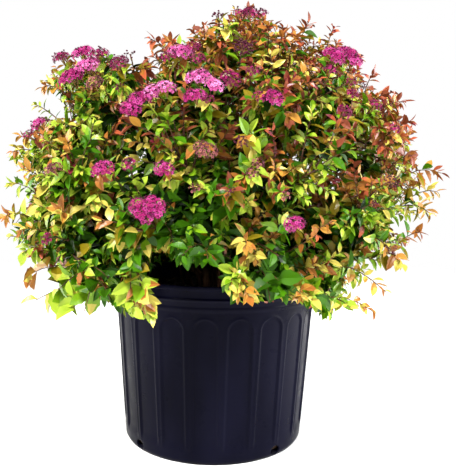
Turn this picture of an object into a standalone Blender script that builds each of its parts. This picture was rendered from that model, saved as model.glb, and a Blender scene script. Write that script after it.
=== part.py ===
"""A potted Japanese spirea: a rounded shrub of arching leafy shoots in a black nursery pot.

Metres, +Z up. The origin is the middle of the pot's flat underside, and the side that shows in a
front view faces -Y. Azimuths are measured from +X towards +Y, and elevations from the horizontal.
"""
import itertools
import math

import bmesh
import bpy
import numpy as np
from mathutils import Matrix
from mathutils.bvhtree import BVHTree

# Pot: a squat three gallon nursery container
POT_HEIGHT = 0.218
POT_BASE_RADIUS = 0.119
POT_RING_RADIUS = 0.134
POT_RING_HEIGHT = 0.190
POT_BEAD_HEIGHT = 0.2015
POT_RIM_RADIUS = 0.1398
POT_RIM_WALL = 0.0030
POT_LIP_HEIGHT = 0.0045
POT_EDGE = 0.0012
POT_BODY_TOP = POT_RING_HEIGHT - 0.0040
POT_BODY_TOP_RADIUS = POT_RING_RADIUS - POT_EDGE
POT_WALL_SLOPE = (POT_BODY_TOP_RADIUS - POT_BASE_RADIUS) / POT_BODY_TOP
POT_WALL = 0.0034
POT_FLOOR = 0.0040
POT_CORNER = 0.0040
POT_STEPS = 40
SLIVER = 0.00003

PANEL_COUNT = 20
PANEL_WIDTH = 0.0315
PANEL_FOOT = 0.014
PANEL_TOP = 0.179
PANEL_DEPTH = 0.0017
PANEL_ARCH_SIDES = 8
PANEL_CUTTER_HALF = 0.010
FIRST_PANEL_AZIMUTH = math.radians(-94.7)

DRAIN_COUNT = 4
DRAIN_RADIUS = 0.0075
DRAIN_LENGTH = 0.016
DRAIN_SIDES = 12
FIRST_DRAIN_RIB = 2.5

SOIL_EDGE = 0.194
SOIL_CROWN = 0.200
SOIL_SHRINKAGE = 0.0004
SOIL_NOTCH_GAP = 0.0010

# Crown: a ball that every shoot grows inside, round a bare middle that only the limbs cross
CROWN_CENTRE = np.array([0.009, 0.0, 0.317])
CROWN_REACH = 0.277
BARE_RADIUS = 0.125
HEM_ELEVATION = math.radians(-37)
HEM_HEIGHT = 0.146

# Swellings and hollows of the crown: azimuth, elevation, extra reach and spread
LOBES = (
    (180, 40, 0.024, 17),
    (180, 72, -0.034, 18),
    (5, 76, -0.024, 14),
    (0, 3, 0.030, 9),
    (0, 40, 0.006, 18),
    (180, -18, 0.014, 13),
    (182, -38, -0.016, 12),
    (0, -34, -0.024, 14),
    (92, 28, 0.012, 18),
    (60, 62, -0.014, 16),
    (128, -8, 0.012, 14),
    (-62, 30, 0.006, 16),
)
# The opening under the front leaves where the bare stems show
STEM_WINDOW = (-108, -30, 15)

# Masses of foliage in rings: name, how many, elevation and first azimuth
MASS_RINGS = (
    ("skirt", 7, -12, -90),
    ("shoulder", 5, 33, -54),
    ("top", 1, 90, 0),
)
MASS_CLEARANCE = 0.0005
POT_CLEARANCE = 0.0040

# Limbs
STEM_FOOT_RADIUS = 0.0052
STEM_TIP_RADIUS = 0.0026
STEM_FLARE = 1.35
STEM_RING_RADIUS = 0.021
STEM_POINTS = 8
BOUGH_ROOT_RADIUS = 0.0031
BOUGH_TIP_RADIUS = 0.0021
BOUGH_POINTS = 7
BOUGH_HEIGHTS = (0.222, 0.234)
LIMB_STRAIGHT_END = 0.006
BOUGH_SQUARE = 0.005
STEM_UPRIGHT = 0.008
STEM_SPREAD = 2.2
STEM_BEND_HEIGHT = 0.110
BOUGH_BEND = (0.026, 0.018)
SEAT_GAP = 0.0003

# Shoots, leaves and flower heads
SHOOT_COUNT = 96
SHOOT_RADIUS = 0.0020
SHOOT_TIP_RADIUS = 0.0014
SHOOT_SEGMENTS = 2
SHOOT_ARCHES = (0.020, 0.008, 0.0)
SHOOT_GATHER = 0.06
SHOOT_SHORT = 0.020
TIP_CLEARANCE = 0.022
TIP_ABOVE_HEM = 0.016
MASS_STEM_RADIUS = 0.0026
MASS_STEM_TIP_RADIUS = 0.0020
MASS_STEM_SEGMENTS = 3
MASS_STEM_REACH = 0.80
LEAVES_PER_SHOOT = 5
LEAF_LENGTH = 0.070
LEAF_HALF_WIDTH = 0.0205
LEAF_HALF_THICKNESS = 0.0014
LEAF_WIDEST = 0.42
LEAF_FOLD = 0.0040
LEAF_SUNK = 0.0002
LEAF_FREE_FROM = 0.10
LEAF_ZONE = (0.40, 0.93)
LEAF_TILTS = (math.radians(85), math.radians(65))
LEAF_DROOP = np.array([0.0, 0.0, -0.12])
LEAF_LIGHT = np.array([0.0, 0.0, 0.2])
LEAF_SHRINKS = (1.0, 0.85, 0.7)
LEAF_ROLLS = (0.0, 0.7, -0.7, 1.4, -1.4, 2.2, math.pi)
FLOWER_RADIUS = 0.018
FLOWER_HEIGHT = 0.010
FLOWER_LEAF_SHARE = 0.72
FLOWER_ANGLE = math.radians(13)
GOLDEN_ANGLE = math.radians(137.508)
UNION_ATTEMPTS = 8
SEED = 5504

# Flower heads, as the directions in which their shoots point: azimuth and elevation
FLOWERING_SHOOTS = (
    (-138, 42), (-122, 50), (-104, 38), (-88, 44), (-116, 12), (-104, 22), (-128, 20),
    (-152, 28), (-66, 8), (-70, 44), (-52, 40), (-86, 66), (-60, 28), (-36, 22),
    (40, 44), (84, 30), (112, 52), (140, 26), (62, 12), (160, 50), (8, 34), (100, 76),
)

# Leaf colours of the two sides of the crown
LIME = (0.30, 0.46, 0.05)
COPPER = (0.42, 0.13, 0.04)

MODEL = "potted_japanese_spirea"


def clear_scene():
    """Removes every object that the file opened with."""
    for thing in list(bpy.data.objects):
        bpy.data.objects.remove(thing, do_unlink=True)


def new_collection(name):
    """Makes a collection of the scene."""
    collection = bpy.data.collections.new(name)
    bpy.context.scene.collection.children.link(collection)
    return collection


def new_material(name, colour, roughness, metallic=0.0):
    """Makes a plain Principled material."""
    material = bpy.data.materials.new(name)
    material.use_nodes = True
    shader = material.node_tree.nodes["Principled BSDF"]
    shader.inputs["Base Color"].default_value = (*colour, 1.0)
    shader.inputs["Roughness"].default_value = roughness
    shader.inputs["Metallic"].default_value = metallic
    return material


def new_object(name, data, collection, material=None):
    """Links an object for a mesh or curve, with its own material."""
    thing = bpy.data.objects.new(name, data)
    collection.objects.link(thing)
    if material:
        data.materials.append(material)
    return thing


def direction(azimuth, elevation):
    """Unit vector of an azimuth and an elevation in radians."""
    flat = math.cos(elevation)
    return np.array([flat * math.cos(azimuth), flat * math.sin(azimuth), math.sin(elevation)])


def unit(vector):
    """The vector at length one."""
    return vector / np.linalg.norm(vector)


def degrees_direction(azimuth, elevation):
    """Unit vector of an azimuth and an elevation in degrees."""
    return direction(math.radians(azimuth), math.radians(elevation))


def reach_along(towards):
    """How far the crown's outer leaves reach from its centre along unit directions."""
    reach = np.full(towards.shape[:-1], CROWN_REACH)
    for azimuth, elevation, extra, spread in LOBES:
        cosine = np.clip(towards @ degrees_direction(azimuth, elevation), -1.0, 1.0)
        angle = np.degrees(np.arccos(cosine))
        reach = reach + extra * np.exp(-(angle / spread) ** 2)
    return reach


def bezier(controls, count):
    """Evenly spaced points on the Bezier curve of three or four control points."""
    steps = np.linspace(0.0, 1.0, count)[:, None]
    degree = len(controls) - 1
    points = np.zeros((count, 3))
    for order, control in enumerate(controls):
        weight = math.comb(degree, order) * steps ** order * (1 - steps) ** (degree - order)
        points += weight * control
    return points


def mesh_from_curve(name, points, radii, collection, material, resolution=None, section=None):
    """A tapering tube with filled caps along the points, as a closed mesh object."""
    curve = bpy.data.curves.new(name, "CURVE")
    curve.dimensions = "3D"
    curve.use_fill_caps = True
    curve.twist_mode = "MINIMUM"
    if section:
        curve.bevel_mode = "OBJECT"
        curve.bevel_object = section
    else:
        curve.bevel_depth = 1.0
        curve.bevel_resolution = resolution
    spline = curve.splines.new("POLY")
    spline.points.add(len(points) - 1)
    for point, place, radius in zip(spline.points, points, radii):
        point.co = (*place, 1.0)
        point.radius = radius
    tube = bpy.data.objects.new(name, curve)
    collection.objects.link(tube)
    bpy.context.view_layer.update()
    evaluated = tube.evaluated_get(bpy.context.evaluated_depsgraph_get())
    mesh = bpy.data.meshes.new_from_object(evaluated)
    weld(mesh)
    bpy.data.objects.remove(tube, do_unlink=True)
    bpy.data.curves.remove(curve)
    mesh.name = name
    mesh.materials.clear()
    return new_object(name, mesh, collection, material)


def weld(mesh):
    """Merges a mesh's doubled vertices and points its faces outwards."""
    shape = bmesh.new()
    shape.from_mesh(mesh)
    bmesh.ops.remove_doubles(shape, verts=shape.verts, dist=1e-6)
    bmesh.ops.recalc_face_normals(shape, faces=shape.faces)
    shape.to_mesh(mesh)
    shape.free()


def pot_profile():
    """The pot's section, up the inside, over the rim and down the outside to the underside."""
    outside = (
        (POT_RIM_RADIUS - POT_EDGE, POT_HEIGHT),
        (POT_RIM_RADIUS, POT_HEIGHT - POT_EDGE),
        (POT_RIM_RADIUS, POT_HEIGHT - POT_LIP_HEIGHT),
        (POT_RIM_RADIUS - 0.0016, POT_HEIGHT - POT_LIP_HEIGHT - 0.0010),
        (POT_RIM_RADIUS - 0.0020, POT_BEAD_HEIGHT + 0.0020),
        (POT_RIM_RADIUS - 0.0004, POT_BEAD_HEIGHT),
        (POT_RIM_RADIUS - 0.0026, POT_BEAD_HEIGHT - 0.0025),
        (POT_RING_RADIUS + 0.0008, POT_RING_HEIGHT + 0.0035),
        (POT_RING_RADIUS + POT_EDGE, POT_RING_HEIGHT),
        (POT_BODY_TOP_RADIUS, POT_BODY_TOP),
        (POT_BASE_RADIUS + POT_WALL_SLOPE * POT_CORNER, POT_CORNER),
        (POT_BASE_RADIUS - POT_CORNER * 0.6, 0.0),
        (0.0, 0.0),
    )
    inside = (
        (0.0, POT_FLOOR),
        (inner_radius(POT_FLOOR), POT_FLOOR),
        (inner_radius(POT_RING_HEIGHT), POT_RING_HEIGHT),
        (inner_radius(POT_HEIGHT), POT_HEIGHT),
    )
    return inside + outside


def inner_radius(height):
    """Radius of the pot's inside at a height."""
    lower = POT_BASE_RADIUS - POT_WALL
    upper = POT_BODY_TOP_RADIUS - POT_WALL
    if height <= POT_RING_HEIGHT:
        return lower + (upper - lower) * height / POT_RING_HEIGHT
    share = (height - POT_RING_HEIGHT) / (POT_HEIGHT - POT_RING_HEIGHT)
    return upper + (POT_RIM_RADIUS - POT_RIM_WALL - upper) * share


def turned(name, profile, steps, collection, material):
    """A solid of revolution whose profile is in the XZ plane, outside running downwards."""
    mesh = bpy.data.meshes.new(name)
    edges = [(number, number + 1) for number in range(len(profile) - 1)]
    mesh.from_pydata([(radius, 0.0, height) for radius, height in profile], edges, [])
    thing = new_object(name, mesh, collection, material)
    screw = thing.modifiers.new("turn", "SCREW")
    screw.axis = "Z"
    screw.steps = steps
    screw.render_steps = steps
    screw.use_merge_vertices = True
    screw.merge_threshold = 0.00005
    return thing


def cut(thing, cutter):
    """Takes a cutter out of an object."""
    boolean = thing.modifiers.new(cutter.name, "BOOLEAN")
    boolean.operation = "DIFFERENCE"
    boolean.solver = "EXACT"
    boolean.object = cutter
    cutter.hide_render = True
    cutter.display_type = "WIRE"


def radial_place(azimuth, radius, height, lean=0.0):
    """Matrix whose local Y points outwards from the pot at an azimuth, leaning with its wall."""
    turn = Matrix.Rotation(azimuth - math.pi / 2, 4, "Z")
    tilt = Matrix.Rotation(lean, 4, "X")
    return Matrix.Translation((0.0, 0.0, height)) @ turn @ Matrix.Translation((0.0, radius, 0.0)) @ tilt


def panel_cutter_mesh():
    """An upright slab with a round head, from the panel's foot to the top of its arch."""
    half = PANEL_WIDTH / 2
    straight = PANEL_TOP - PANEL_FOOT - half
    outline = [(-half, 0.0), (half, 0.0)]
    for number in range(PANEL_ARCH_SIDES + 1):
        angle = math.pi * number / PANEL_ARCH_SIDES
        outline.append((half * math.cos(angle), straight + half * math.sin(angle)))
    curve = bpy.data.curves.new("panel_outline", "CURVE")
    curve.dimensions = "2D"
    curve.fill_mode = "BOTH"
    curve.extrude = PANEL_CUTTER_HALF
    spline = curve.splines.new("POLY")
    spline.use_cyclic_u = True
    spline.points.add(len(outline) - 1)
    for point, place in zip(spline.points, outline):
        point.co = (*place, 0.0, 1.0)
    slab = bpy.data.objects.new("panel_outline", curve)
    bpy.context.scene.collection.objects.link(slab)
    bpy.context.view_layer.update()
    mesh = bpy.data.meshes.new_from_object(slab.evaluated_get(bpy.context.evaluated_depsgraph_get()))
    bpy.data.objects.remove(slab, do_unlink=True)
    bpy.data.curves.remove(curve)
    mesh.transform(Matrix.Rotation(math.pi / 2, 4, "X"))
    weld(mesh)
    return mesh


def drain_cutter_mesh():
    """A short rod along Y that cuts a half-round drain notch in the pot's foot."""
    shape = bmesh.new()
    bmesh.ops.create_cone(shape, cap_ends=True, segments=DRAIN_SIDES, radius1=DRAIN_RADIUS,
                          radius2=DRAIN_RADIUS, depth=DRAIN_LENGTH)
    mesh = bpy.data.meshes.new("drain_cutter")
    shape.to_mesh(mesh)
    shape.free()
    mesh.transform(Matrix.Rotation(math.pi / 2, 4, "X"))
    return mesh


def build_pot(collection, cutters):
    """The black pot: rolled rim, two beads, sunken arched panels and drain notches."""
    plastic = new_material("pot_plastic", (0.012, 0.012, 0.020), 0.34)
    pot = turned("pot", pot_profile(), POT_STEPS, collection, plastic)
    lean = math.atan(POT_WALL_SLOPE)
    cutter_radius = POT_BASE_RADIUS + POT_WALL_SLOPE * PANEL_FOOT - PANEL_DEPTH + PANEL_CUTTER_HALF
    slab = panel_cutter_mesh()
    for number in range(PANEL_COUNT):
        azimuth = FIRST_PANEL_AZIMUTH + number * math.tau / PANEL_COUNT
        cutter = new_object("panel_cutter_%d" % (number + 1), slab, cutters)
        cutter.matrix_world = radial_place(azimuth, cutter_radius, PANEL_FOOT, -lean)
        cut(pot, cutter)
    rod = drain_cutter_mesh()
    for number in range(DRAIN_COUNT):
        rib = FIRST_DRAIN_RIB + number * PANEL_COUNT / DRAIN_COUNT
        azimuth = FIRST_PANEL_AZIMUTH + rib * math.tau / PANEL_COUNT
        cutter = new_object("drain_cutter_%d" % (number + 1), rod, cutters)
        cutter.matrix_world = radial_place(azimuth, POT_BASE_RADIUS, 0.0)
        cut(pot, cutter)
    merge = pot.modifiers.new("merge_slivers", "WELD")
    merge.merge_threshold = SLIVER


def build_soil(collection):
    """The potting mix, a low mound that fills the pot and stays clear of its wall."""
    clear = SEAT_GAP + SOIL_SHRINKAGE
    foot = POT_FLOOR + SEAT_GAP
    notch_top = DRAIN_RADIUS + SOIL_NOTCH_GAP
    notch_radius = POT_BASE_RADIUS - DRAIN_LENGTH / 2 - SOIL_NOTCH_GAP
    profile = (
        (0.0, SOIL_CROWN),
        (0.060, SOIL_CROWN - 0.0008),
        (0.105, SOIL_CROWN - 0.0030),
        (inner_radius(SOIL_EDGE) - clear, SOIL_EDGE),
        (inner_radius(POT_RING_HEIGHT) - clear, POT_RING_HEIGHT),
        (inner_radius(notch_top) - clear, notch_top),
        (notch_radius, foot),
        (0.0, foot),
    )
    mix = new_material("potting_mix", (0.035, 0.022, 0.014), 0.95)
    return turned("potting_mix", profile, POT_STEPS, collection, mix)


def limb_radii(count, root, tip, flare=1.0):
    """Radii that taper from root to tip, flared at the first point."""
    steps = np.linspace(0.0, 1.0, count)
    return (root + (tip - root) * steps ** 0.8) * (1.0 + (flare - 1.0) * (1.0 - steps) ** 10)


def limb_to_mass(controls, towards, count):
    """Points of a limb that ends in a short straight run along its mass's direction."""
    end = CROWN_CENTRE + towards * (BARE_RADIUS - SEAT_GAP / 2)
    bend = end - towards * LIMB_STRAIGHT_END
    curve = bezier([*controls, bend], count - 1)
    return np.vstack([curve, end])


def stem_points(azimuth, towards, ring):
    """A stem's centre line, from the potting mix up and out to its mass."""
    outward = direction(azimuth, 0.0)
    foot_height = SOIL_CROWN + SEAT_GAP
    foot = outward * ring + np.array([0.0, 0.0, foot_height])
    rise = foot + np.array([0.0, 0.0, STEM_UPRIGHT])
    bend = outward * ring * STEM_SPREAD + np.array([0.0, 0.0, foot_height + STEM_BEND_HEIGHT])
    points = limb_to_mass([rise, bend], towards, STEM_POINTS - 1)
    return np.vstack([foot, points])


def build_limbs(masses, collection):
    """Six stems from the potting mix, and a bough from a stem's side to each hanging mass."""
    bark = new_material("stem_bark", (0.115, 0.060, 0.035), 0.75)
    stems = []
    for mass in masses:
        if mass["ring"] == "skirt":
            continue
        ring = 0.0 if mass["ring"] == "top" else STEM_RING_RADIUS
        points = stem_points(mass["azimuth"], mass["towards"], ring)
        radii = limb_radii(STEM_POINTS, STEM_FOOT_RADIUS, STEM_TIP_RADIUS, STEM_FLARE)
        name = "stem_%d" % (len(stems) + 1)
        stems.append((points, radii, mass["azimuth"]))
        mesh_from_curve(name, points, radii, collection, bark, resolution=2)
    carried = [0] * len(stems)
    for mass in masses:
        if mass["ring"] != "skirt":
            continue
        side = [math.cos(azimuth - mass["azimuth"]) for _, _, azimuth in stems[:-1]]
        nearest = int(np.argmax(side))
        height = BOUGH_HEIGHTS[carried[nearest] % len(BOUGH_HEIGHTS)]
        carried[nearest] += 1
        points = bough_points(stems[nearest], height, mass["towards"])
        radii = limb_radii(len(points), BOUGH_ROOT_RADIUS, BOUGH_TIP_RADIUS)
        name = "bough_%d" % mass["number"]
        mesh_from_curve(name, points, radii, collection, bark, resolution=1)


def bough_points(stem, height, towards):
    """A bough's centre line, from a stem's side at a height out to its hanging mass."""
    points, radii, _ = stem
    axis = np.array([np.interp(height, points[:, 2], points[:, column]) for column in range(3)])
    above = np.array([np.interp(height + 0.01, points[:, 2], points[:, column]) for column in range(3)])
    along = unit(above - axis)
    end = CROWN_CENTRE + towards * BARE_RADIUS
    outward = end - axis
    outward = unit(outward - along * (outward @ along))
    root = axis + outward * (np.interp(height, points[:, 2], radii) + SEAT_GAP)
    square = root + outward * BOUGH_SQUARE
    rise = square + outward * BOUGH_BEND[0] + np.array([0.0, 0.0, BOUGH_BEND[1]])
    return np.vstack([root, limb_to_mass([square, rise], towards, BOUGH_POINTS - 1)])


def list_masses():
    """Every mass of foliage with its ring, number, azimuth and unit direction."""
    masses = []
    for ring, count, elevation, first in MASS_RINGS:
        for number in range(count):
            azimuth = math.radians(first + number * 360 / count)
            towards = direction(azimuth, math.radians(elevation))
            masses.append({"ring": ring, "number": number + 1, "azimuth": azimuth, "towards": towards})
    return masses


def space_planes(masses, own):
    """Unit normals of the planes through the crown's centre that bound one mass's space."""
    return np.array([unit(own["towards"] - other["towards"]) for other in masses if other is not own])


def fits(points, planes, clearance=MASS_CLEARANCE):
    """Whether points keep to their mass's space, inside the crown and clear of limbs and pot."""
    offset = points - CROWN_CENTRE
    distance = np.linalg.norm(offset, axis=1)
    if (distance < BARE_RADIUS + SEAT_GAP + MASS_CLEARANCE).any():
        return False
    if (distance > reach_along(offset / distance[:, None])).any():
        return False
    if (offset @ planes.T < clearance).any():
        return False
    return (points[:, 2] > HEM_HEIGHT).all() and clear_of_pot(points)


def clear_of_pot(points):
    """Whether points are above the pot's rim or outside its wall."""
    above = points[:, 2] > POT_HEIGHT + POT_CLEARANCE
    outside = np.hypot(points[:, 0], points[:, 1]) > POT_RIM_RADIUS + POT_CLEARANCE
    return (above | outside).all()


def flowering_directions():
    """Unit directions of the shoots that end in a flower head."""
    return np.array([degrees_direction(*place) for place in FLOWERING_SHOOTS])


def shoot_directions():
    """Directions spread evenly over the crown on a golden spiral, open at the stem window."""
    low = math.sin(HEM_ELEVATION)
    window = degrees_direction(*STEM_WINDOW[:2])
    window_cosine = math.cos(math.radians(STEM_WINDOW[2]))
    spread = []
    for number in range(SHOOT_COUNT):
        rise = low + (1.0 - low) * (number + 0.5) / SHOOT_COUNT
        towards = direction(number * GOLDEN_ANGLE, math.asin(rise))
        if towards @ window < window_cosine:
            spread.append(towards)
    return np.array(spread)


def leaf_mesh():
    """A folded pointed leaf along +X with its face up +Z, from an eight-faced ball, one unit long."""
    shape = bmesh.new()
    bmesh.ops.create_uvsphere(shape, u_segments=4, v_segments=2, radius=1.0)
    for vertex in shape.verts:
        along, across, up = vertex.co.z, vertex.co.x, vertex.co.y
        middle = abs(along) < 0.5
        place = LEAF_WIDEST if middle else (along + 1.0) / 2
        fold = LEAF_FOLD / LEAF_LENGTH * (abs(across) - abs(up)) * middle
        height = up * LEAF_HALF_THICKNESS / LEAF_LENGTH + fold
        vertex.co = (place, across * LEAF_HALF_WIDTH / LEAF_LENGTH, height)
    bmesh.ops.recalc_face_normals(shape, faces=shape.faces)
    mesh = bpy.data.meshes.new("leaf")
    shape.to_mesh(mesh)
    shape.free()
    return mesh


def flower_mesh():
    """A flat-bottomed dome of blossom, its axis +X, from a twenty-faced ball, one unit in radius."""
    shape = bmesh.new()
    bmesh.ops.create_icosphere(shape, subdivisions=1, radius=1.0)
    for vertex in shape.verts:
        rise = vertex.co.z * FLOWER_HEIGHT / FLOWER_RADIUS
        vertex.co = (rise, vertex.co.x, vertex.co.y)
    bmesh.ops.recalc_face_normals(shape, faces=shape.faces)
    mesh = bpy.data.meshes.new("flower_head")
    shape.to_mesh(mesh)
    shape.free()
    return mesh


def frame_along(place, along, facing, size):
    """Matrix at a place whose X runs along one direction and Z as near as can be to another."""
    along = unit(along)
    across = unit(np.cross(facing, along))
    facing = np.cross(along, across)
    matrix = Matrix.Identity(4)
    for row in range(3):
        matrix[row][0] = along[row] * size
        matrix[row][1] = across[row] * size
        matrix[row][2] = facing[row] * size
        matrix[row][3] = place[row]
    return matrix


def moved(corners, matrix):
    """Corners carried by a matrix."""
    turn = np.array(matrix)[:3, :3]
    return corners @ turn.T + np.array(matrix.translation)


def surface_tree(corners, faces):
    """A search tree of a closed surface, to tell whether two pieces meet."""
    return BVHTree.FromPolygons([tuple(corner) for corner in corners], faces)


def mesh_corners(mesh):
    """A mesh's vertices as rows."""
    corners = np.empty(len(mesh.vertices) * 3)
    mesh.vertices.foreach_get("co", corners)
    return corners.reshape(-1, 3)


def leaf_samples(corners):
    """A leaf's corners with the middles between its root, tip and sides."""
    middles = [(a + b) / 2 for number, a in enumerate(corners) for b in corners[number + 1:]]
    samples = np.vstack([corners, middles])
    return samples[samples[:, 0] > LEAF_FREE_FROM]


def mesh_faces(mesh):
    """A mesh's faces as lists of corner numbers."""
    return [list(face.vertices) for face in mesh.polygons]


def leaf_place(root, along, out, turn, tilt, size):
    """A leaf's matrix: rolled about its shoot by turn, tilted away from it, its face to the light."""
    side = unit(np.cross(along, np.array([0.31, 0.17, 0.94])))
    other = np.cross(along, side)
    away = side * math.cos(turn) + other * math.sin(turn)
    heading = unit(along * math.cos(tilt) + away * math.sin(tilt) + LEAF_DROOP)
    return frame_along(root - heading * LEAF_SUNK, heading, out + LEAF_LIGHT, size)


def grow_leaves(points, planes, leaf, others, rng, flowering):
    """Places of a shoot's leaves, spiralling up its outer part; those that don't fit are skipped."""
    places = []
    start = rng.uniform(0.0, math.tau)
    for number in range(LEAVES_PER_SHOOT):
        share = number / (LEAVES_PER_SHOOT - 1)
        position = (LEAF_ZONE[0] + (LEAF_ZONE[1] - LEAF_ZONE[0]) * share ** 0.7) * (len(points) - 1)
        segment = min(int(position), len(points) - 2)
        along = unit(points[segment + 1] - points[segment])
        root = points[segment] + (points[segment + 1] - points[segment]) * (position - segment)
        out = unit(root - CROWN_CENTRE)
        turn = start + number * GOLDEN_ANGLE
        tilt = LEAF_TILTS[0] + (LEAF_TILTS[1] - LEAF_TILTS[0]) * share + rng.uniform(-0.15, 0.15)
        size = LEAF_LENGTH * rng.uniform(0.88, 1.12) * (FLOWER_LEAF_SHARE if flowering else 1.0)
        for shrink, roll in itertools.product(LEAF_SHRINKS, LEAF_ROLLS):
            matrix = leaf_place(root, along, out, turn + roll, tilt, size * shrink)
            if not fits(moved(leaf["samples"], matrix), planes):
                continue
            blade = surface_tree(moved(leaf["blade"], matrix), leaf["faces"])
            if not any(blade.overlap(other) for other in others):
                places.append(matrix)
                others.append(blade)
                break
    return places


def grow_shoot(root, tip, planes):
    """Points of a shoot that arches from its mass's stem to its tip, or None where it doesn't fit."""
    outwards = unit(root + tip - 2 * CROWN_CENTRE)
    for lift in SHOOT_ARCHES:
        middle = (root + tip) / 2 + (np.array([0.0, 0.0, 1.0]) + outwards * 0.4) * lift
        if fits(bezier([root, middle, tip], 9)[1:], planes, SHOOT_RADIUS + MASS_CLEARANCE):
            return bezier([root, middle, tip], SHOOT_SEGMENTS + 1)
    return None


def mass_stem(towards):
    """Points of the stem that carries a mass, on from its bough's tip."""
    first = BARE_RADIUS + SEAT_GAP / 2
    last = BARE_RADIUS + (reach_along(towards[None])[0] - BARE_RADIUS) * MASS_STEM_REACH
    steps = np.linspace(first, last, MASS_STEM_SEGMENTS + 1)
    return CROWN_CENTRE + towards * steps[:, None]


def mass_colour(towards):
    """A mass's leaf colour, from lime on the crown's left to copper on its right and top."""
    share = 0.5 + 0.35 * towards[0] + 0.15 * towards[2]
    return tuple(np.array(LIME) + (np.array(COPPER) - np.array(LIME)) * share)


def grow_shoots(mass, masses, planes, rng, pieces, section):
    """A mass's shoots, each arching from its stem to the crown's outside."""
    axes = np.array([other["towards"] for other in masses])
    everywhere = shoot_directions()
    own = everywhere[np.argmax(everywhere @ axes.T, axis=1) == masses.index(mass)]
    flowering = nearest_shoots(own, flowering_directions())
    stem = mass_stem(mass["towards"])
    shoots = []
    for number, aim in enumerate(own):
        aim = unit(aim + mass["towards"] * SHOOT_GATHER + rng.normal(0.0, 0.02, 3))
        tip = clear_tip(CROWN_CENTRE + aim * (reach_along(aim[None])[0] - SHOOT_SHORT))
        spread = math.acos(min(1.0, aim @ mass["towards"]))
        step = np.clip(0.72 - 0.75 * spread, 0.12, 0.75) + rng.uniform(-0.06, 0.06)
        points = grow_shoot(stem[0] + (stem[-1] - stem[0]) * step, tip, planes)
        if points is None:
            continue
        radii = np.linspace(SHOOT_RADIUS, SHOOT_TIP_RADIUS, len(points))
        tube = mesh_from_curve("shoot", points, radii, pieces, None, section=section)
        tree = surface_tree(mesh_corners(tube.data), mesh_faces(tube.data))
        shoots.append({"points": points, "aim": aim, "tree": tree, "blooms": number in flowering})
    return shoots


def build_mass(mass, masses, collection, pieces, forms):
    """One mass of foliage: its stem, shoots, leaves and flower heads fused to one body."""
    name = "foliage_top" if mass["ring"] == "top" else "foliage_%s_%d" % (mass["ring"], mass["number"])
    planes = space_planes(masses, mass)
    rng = np.random.default_rng(SEED + 17 * mass["number"] + len(mass["ring"]))
    stem = mass_stem(mass["towards"])
    radii = np.linspace(MASS_STEM_RADIUS, MASS_STEM_TIP_RADIUS, len(stem))
    material = new_material(name, mass_colour(mass["towards"]), 0.6)
    body = mesh_from_curve(name, stem, radii, collection, material, section=forms["section"])
    shoots = grow_shoots(mass, masses, planes, rng, pieces, forms["section"])
    blades = []
    for shoot in shoots:
        if shoot["blooms"]:
            blades.extend(add_flower(shoot, planes, forms["flower"], pieces))
    shape = leaf_shape(forms["leaf"])
    for shoot in shoots:
        others = blades + [other["tree"] for other in shoots if other is not shoot]
        known = len(others)
        for matrix in grow_leaves(shoot["points"], planes, shape, others, rng, shoot["blooms"]):
            piece = new_object("leaf", forms["leaf"], pieces)
            piece.matrix_world = matrix
        blades.extend(others[known:])
    fuse(body, pieces)


def add_flower(shoot, planes, blossom, pieces):
    """Sets a flower head on a shoot's tip where it fits, and gives its search tree."""
    points = shoot["points"]
    along = unit(unit(points[-1] - points[-2]) + np.array([0.0, 0.0, 0.5]) + shoot["aim"] * 0.4)
    centre = points[-1] + along * FLOWER_HEIGHT * 0.55
    place = frame_along(centre, along, np.array([0.3, 0.9, 0.1]), FLOWER_RADIUS)
    corners = moved(mesh_corners(blossom), place)
    if not fits(corners, planes):
        return []
    piece = new_object("flower_head", blossom, pieces)
    piece.matrix_world = place
    return [surface_tree(corners, mesh_faces(blossom))]


def leaf_shape(mesh):
    """A leaf's sample points, and its blade beyond the part that is sunk in the shoot."""
    corners = mesh_corners(mesh)
    blade = corners.copy()
    root = int(np.argmin(blade[:, 0]))
    blade[root, 0] = LEAF_FREE_FROM
    return {"samples": leaf_samples(corners), "blade": blade, "faces": mesh_faces(mesh)}


def nearest_shoots(own, flowers):
    """The numbers of a mass's shoots that lie nearest to a flower head's direction."""
    chosen = set()
    for flower in flowers:
        cosines = own @ flower
        best = int(np.argmax(cosines))
        if cosines[best] > math.cos(FLOWER_ANGLE):
            chosen.add(best)
    return chosen


def clear_tip(tip):
    """A shoot's tip, pushed out where it would meet the pot or hang below the hem."""
    tip = tip.copy()
    tip[2] = max(tip[2], HEM_HEIGHT + TIP_ABOVE_HEM)
    flat = math.hypot(tip[0], tip[1])
    least = POT_RIM_RADIUS + TIP_CLEARANCE
    if tip[2] < POT_HEIGHT + TIP_CLEARANCE and flat < least:
        tip[:2] *= least / flat
    return tip


def fuse(body, pieces):
    """Joins every piece of a collection to a body by one union, and removes the pieces."""
    union = body.modifiers.new("fuse", "BOOLEAN")
    union.operation = "UNION"
    union.operand_type = "COLLECTION"
    union.collection = pieces
    for attempt in range(UNION_ATTEMPTS):
        union.solver = "EXACT" if attempt % 2 == 0 else "MANIFOLD"
        bpy.context.view_layer.update()
        evaluated = body.evaluated_get(bpy.context.evaluated_depsgraph_get())
        mesh = bpy.data.meshes.new_from_object(evaluated)
        keep_outer_body(mesh)
        if closed(mesh):
            break
        if attempt % 2 == 1:
            bpy.data.objects.remove(pieces.objects[-1], do_unlink=True)
    body.modifiers.clear()
    material = body.data.materials[0]
    body.data = mesh
    mesh.name = body.name
    mesh.materials.clear()
    mesh.materials.append(material)
    for piece in list(pieces.objects):
        bpy.data.objects.remove(piece, do_unlink=True)


def closed(mesh):
    """Whether each edge of a mesh is shared by exactly two faces."""
    shape = bmesh.new()
    shape.from_mesh(mesh)
    result = all(len(edge.link_faces) == 2 for edge in shape.edges)
    shape.free()
    return result


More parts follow.
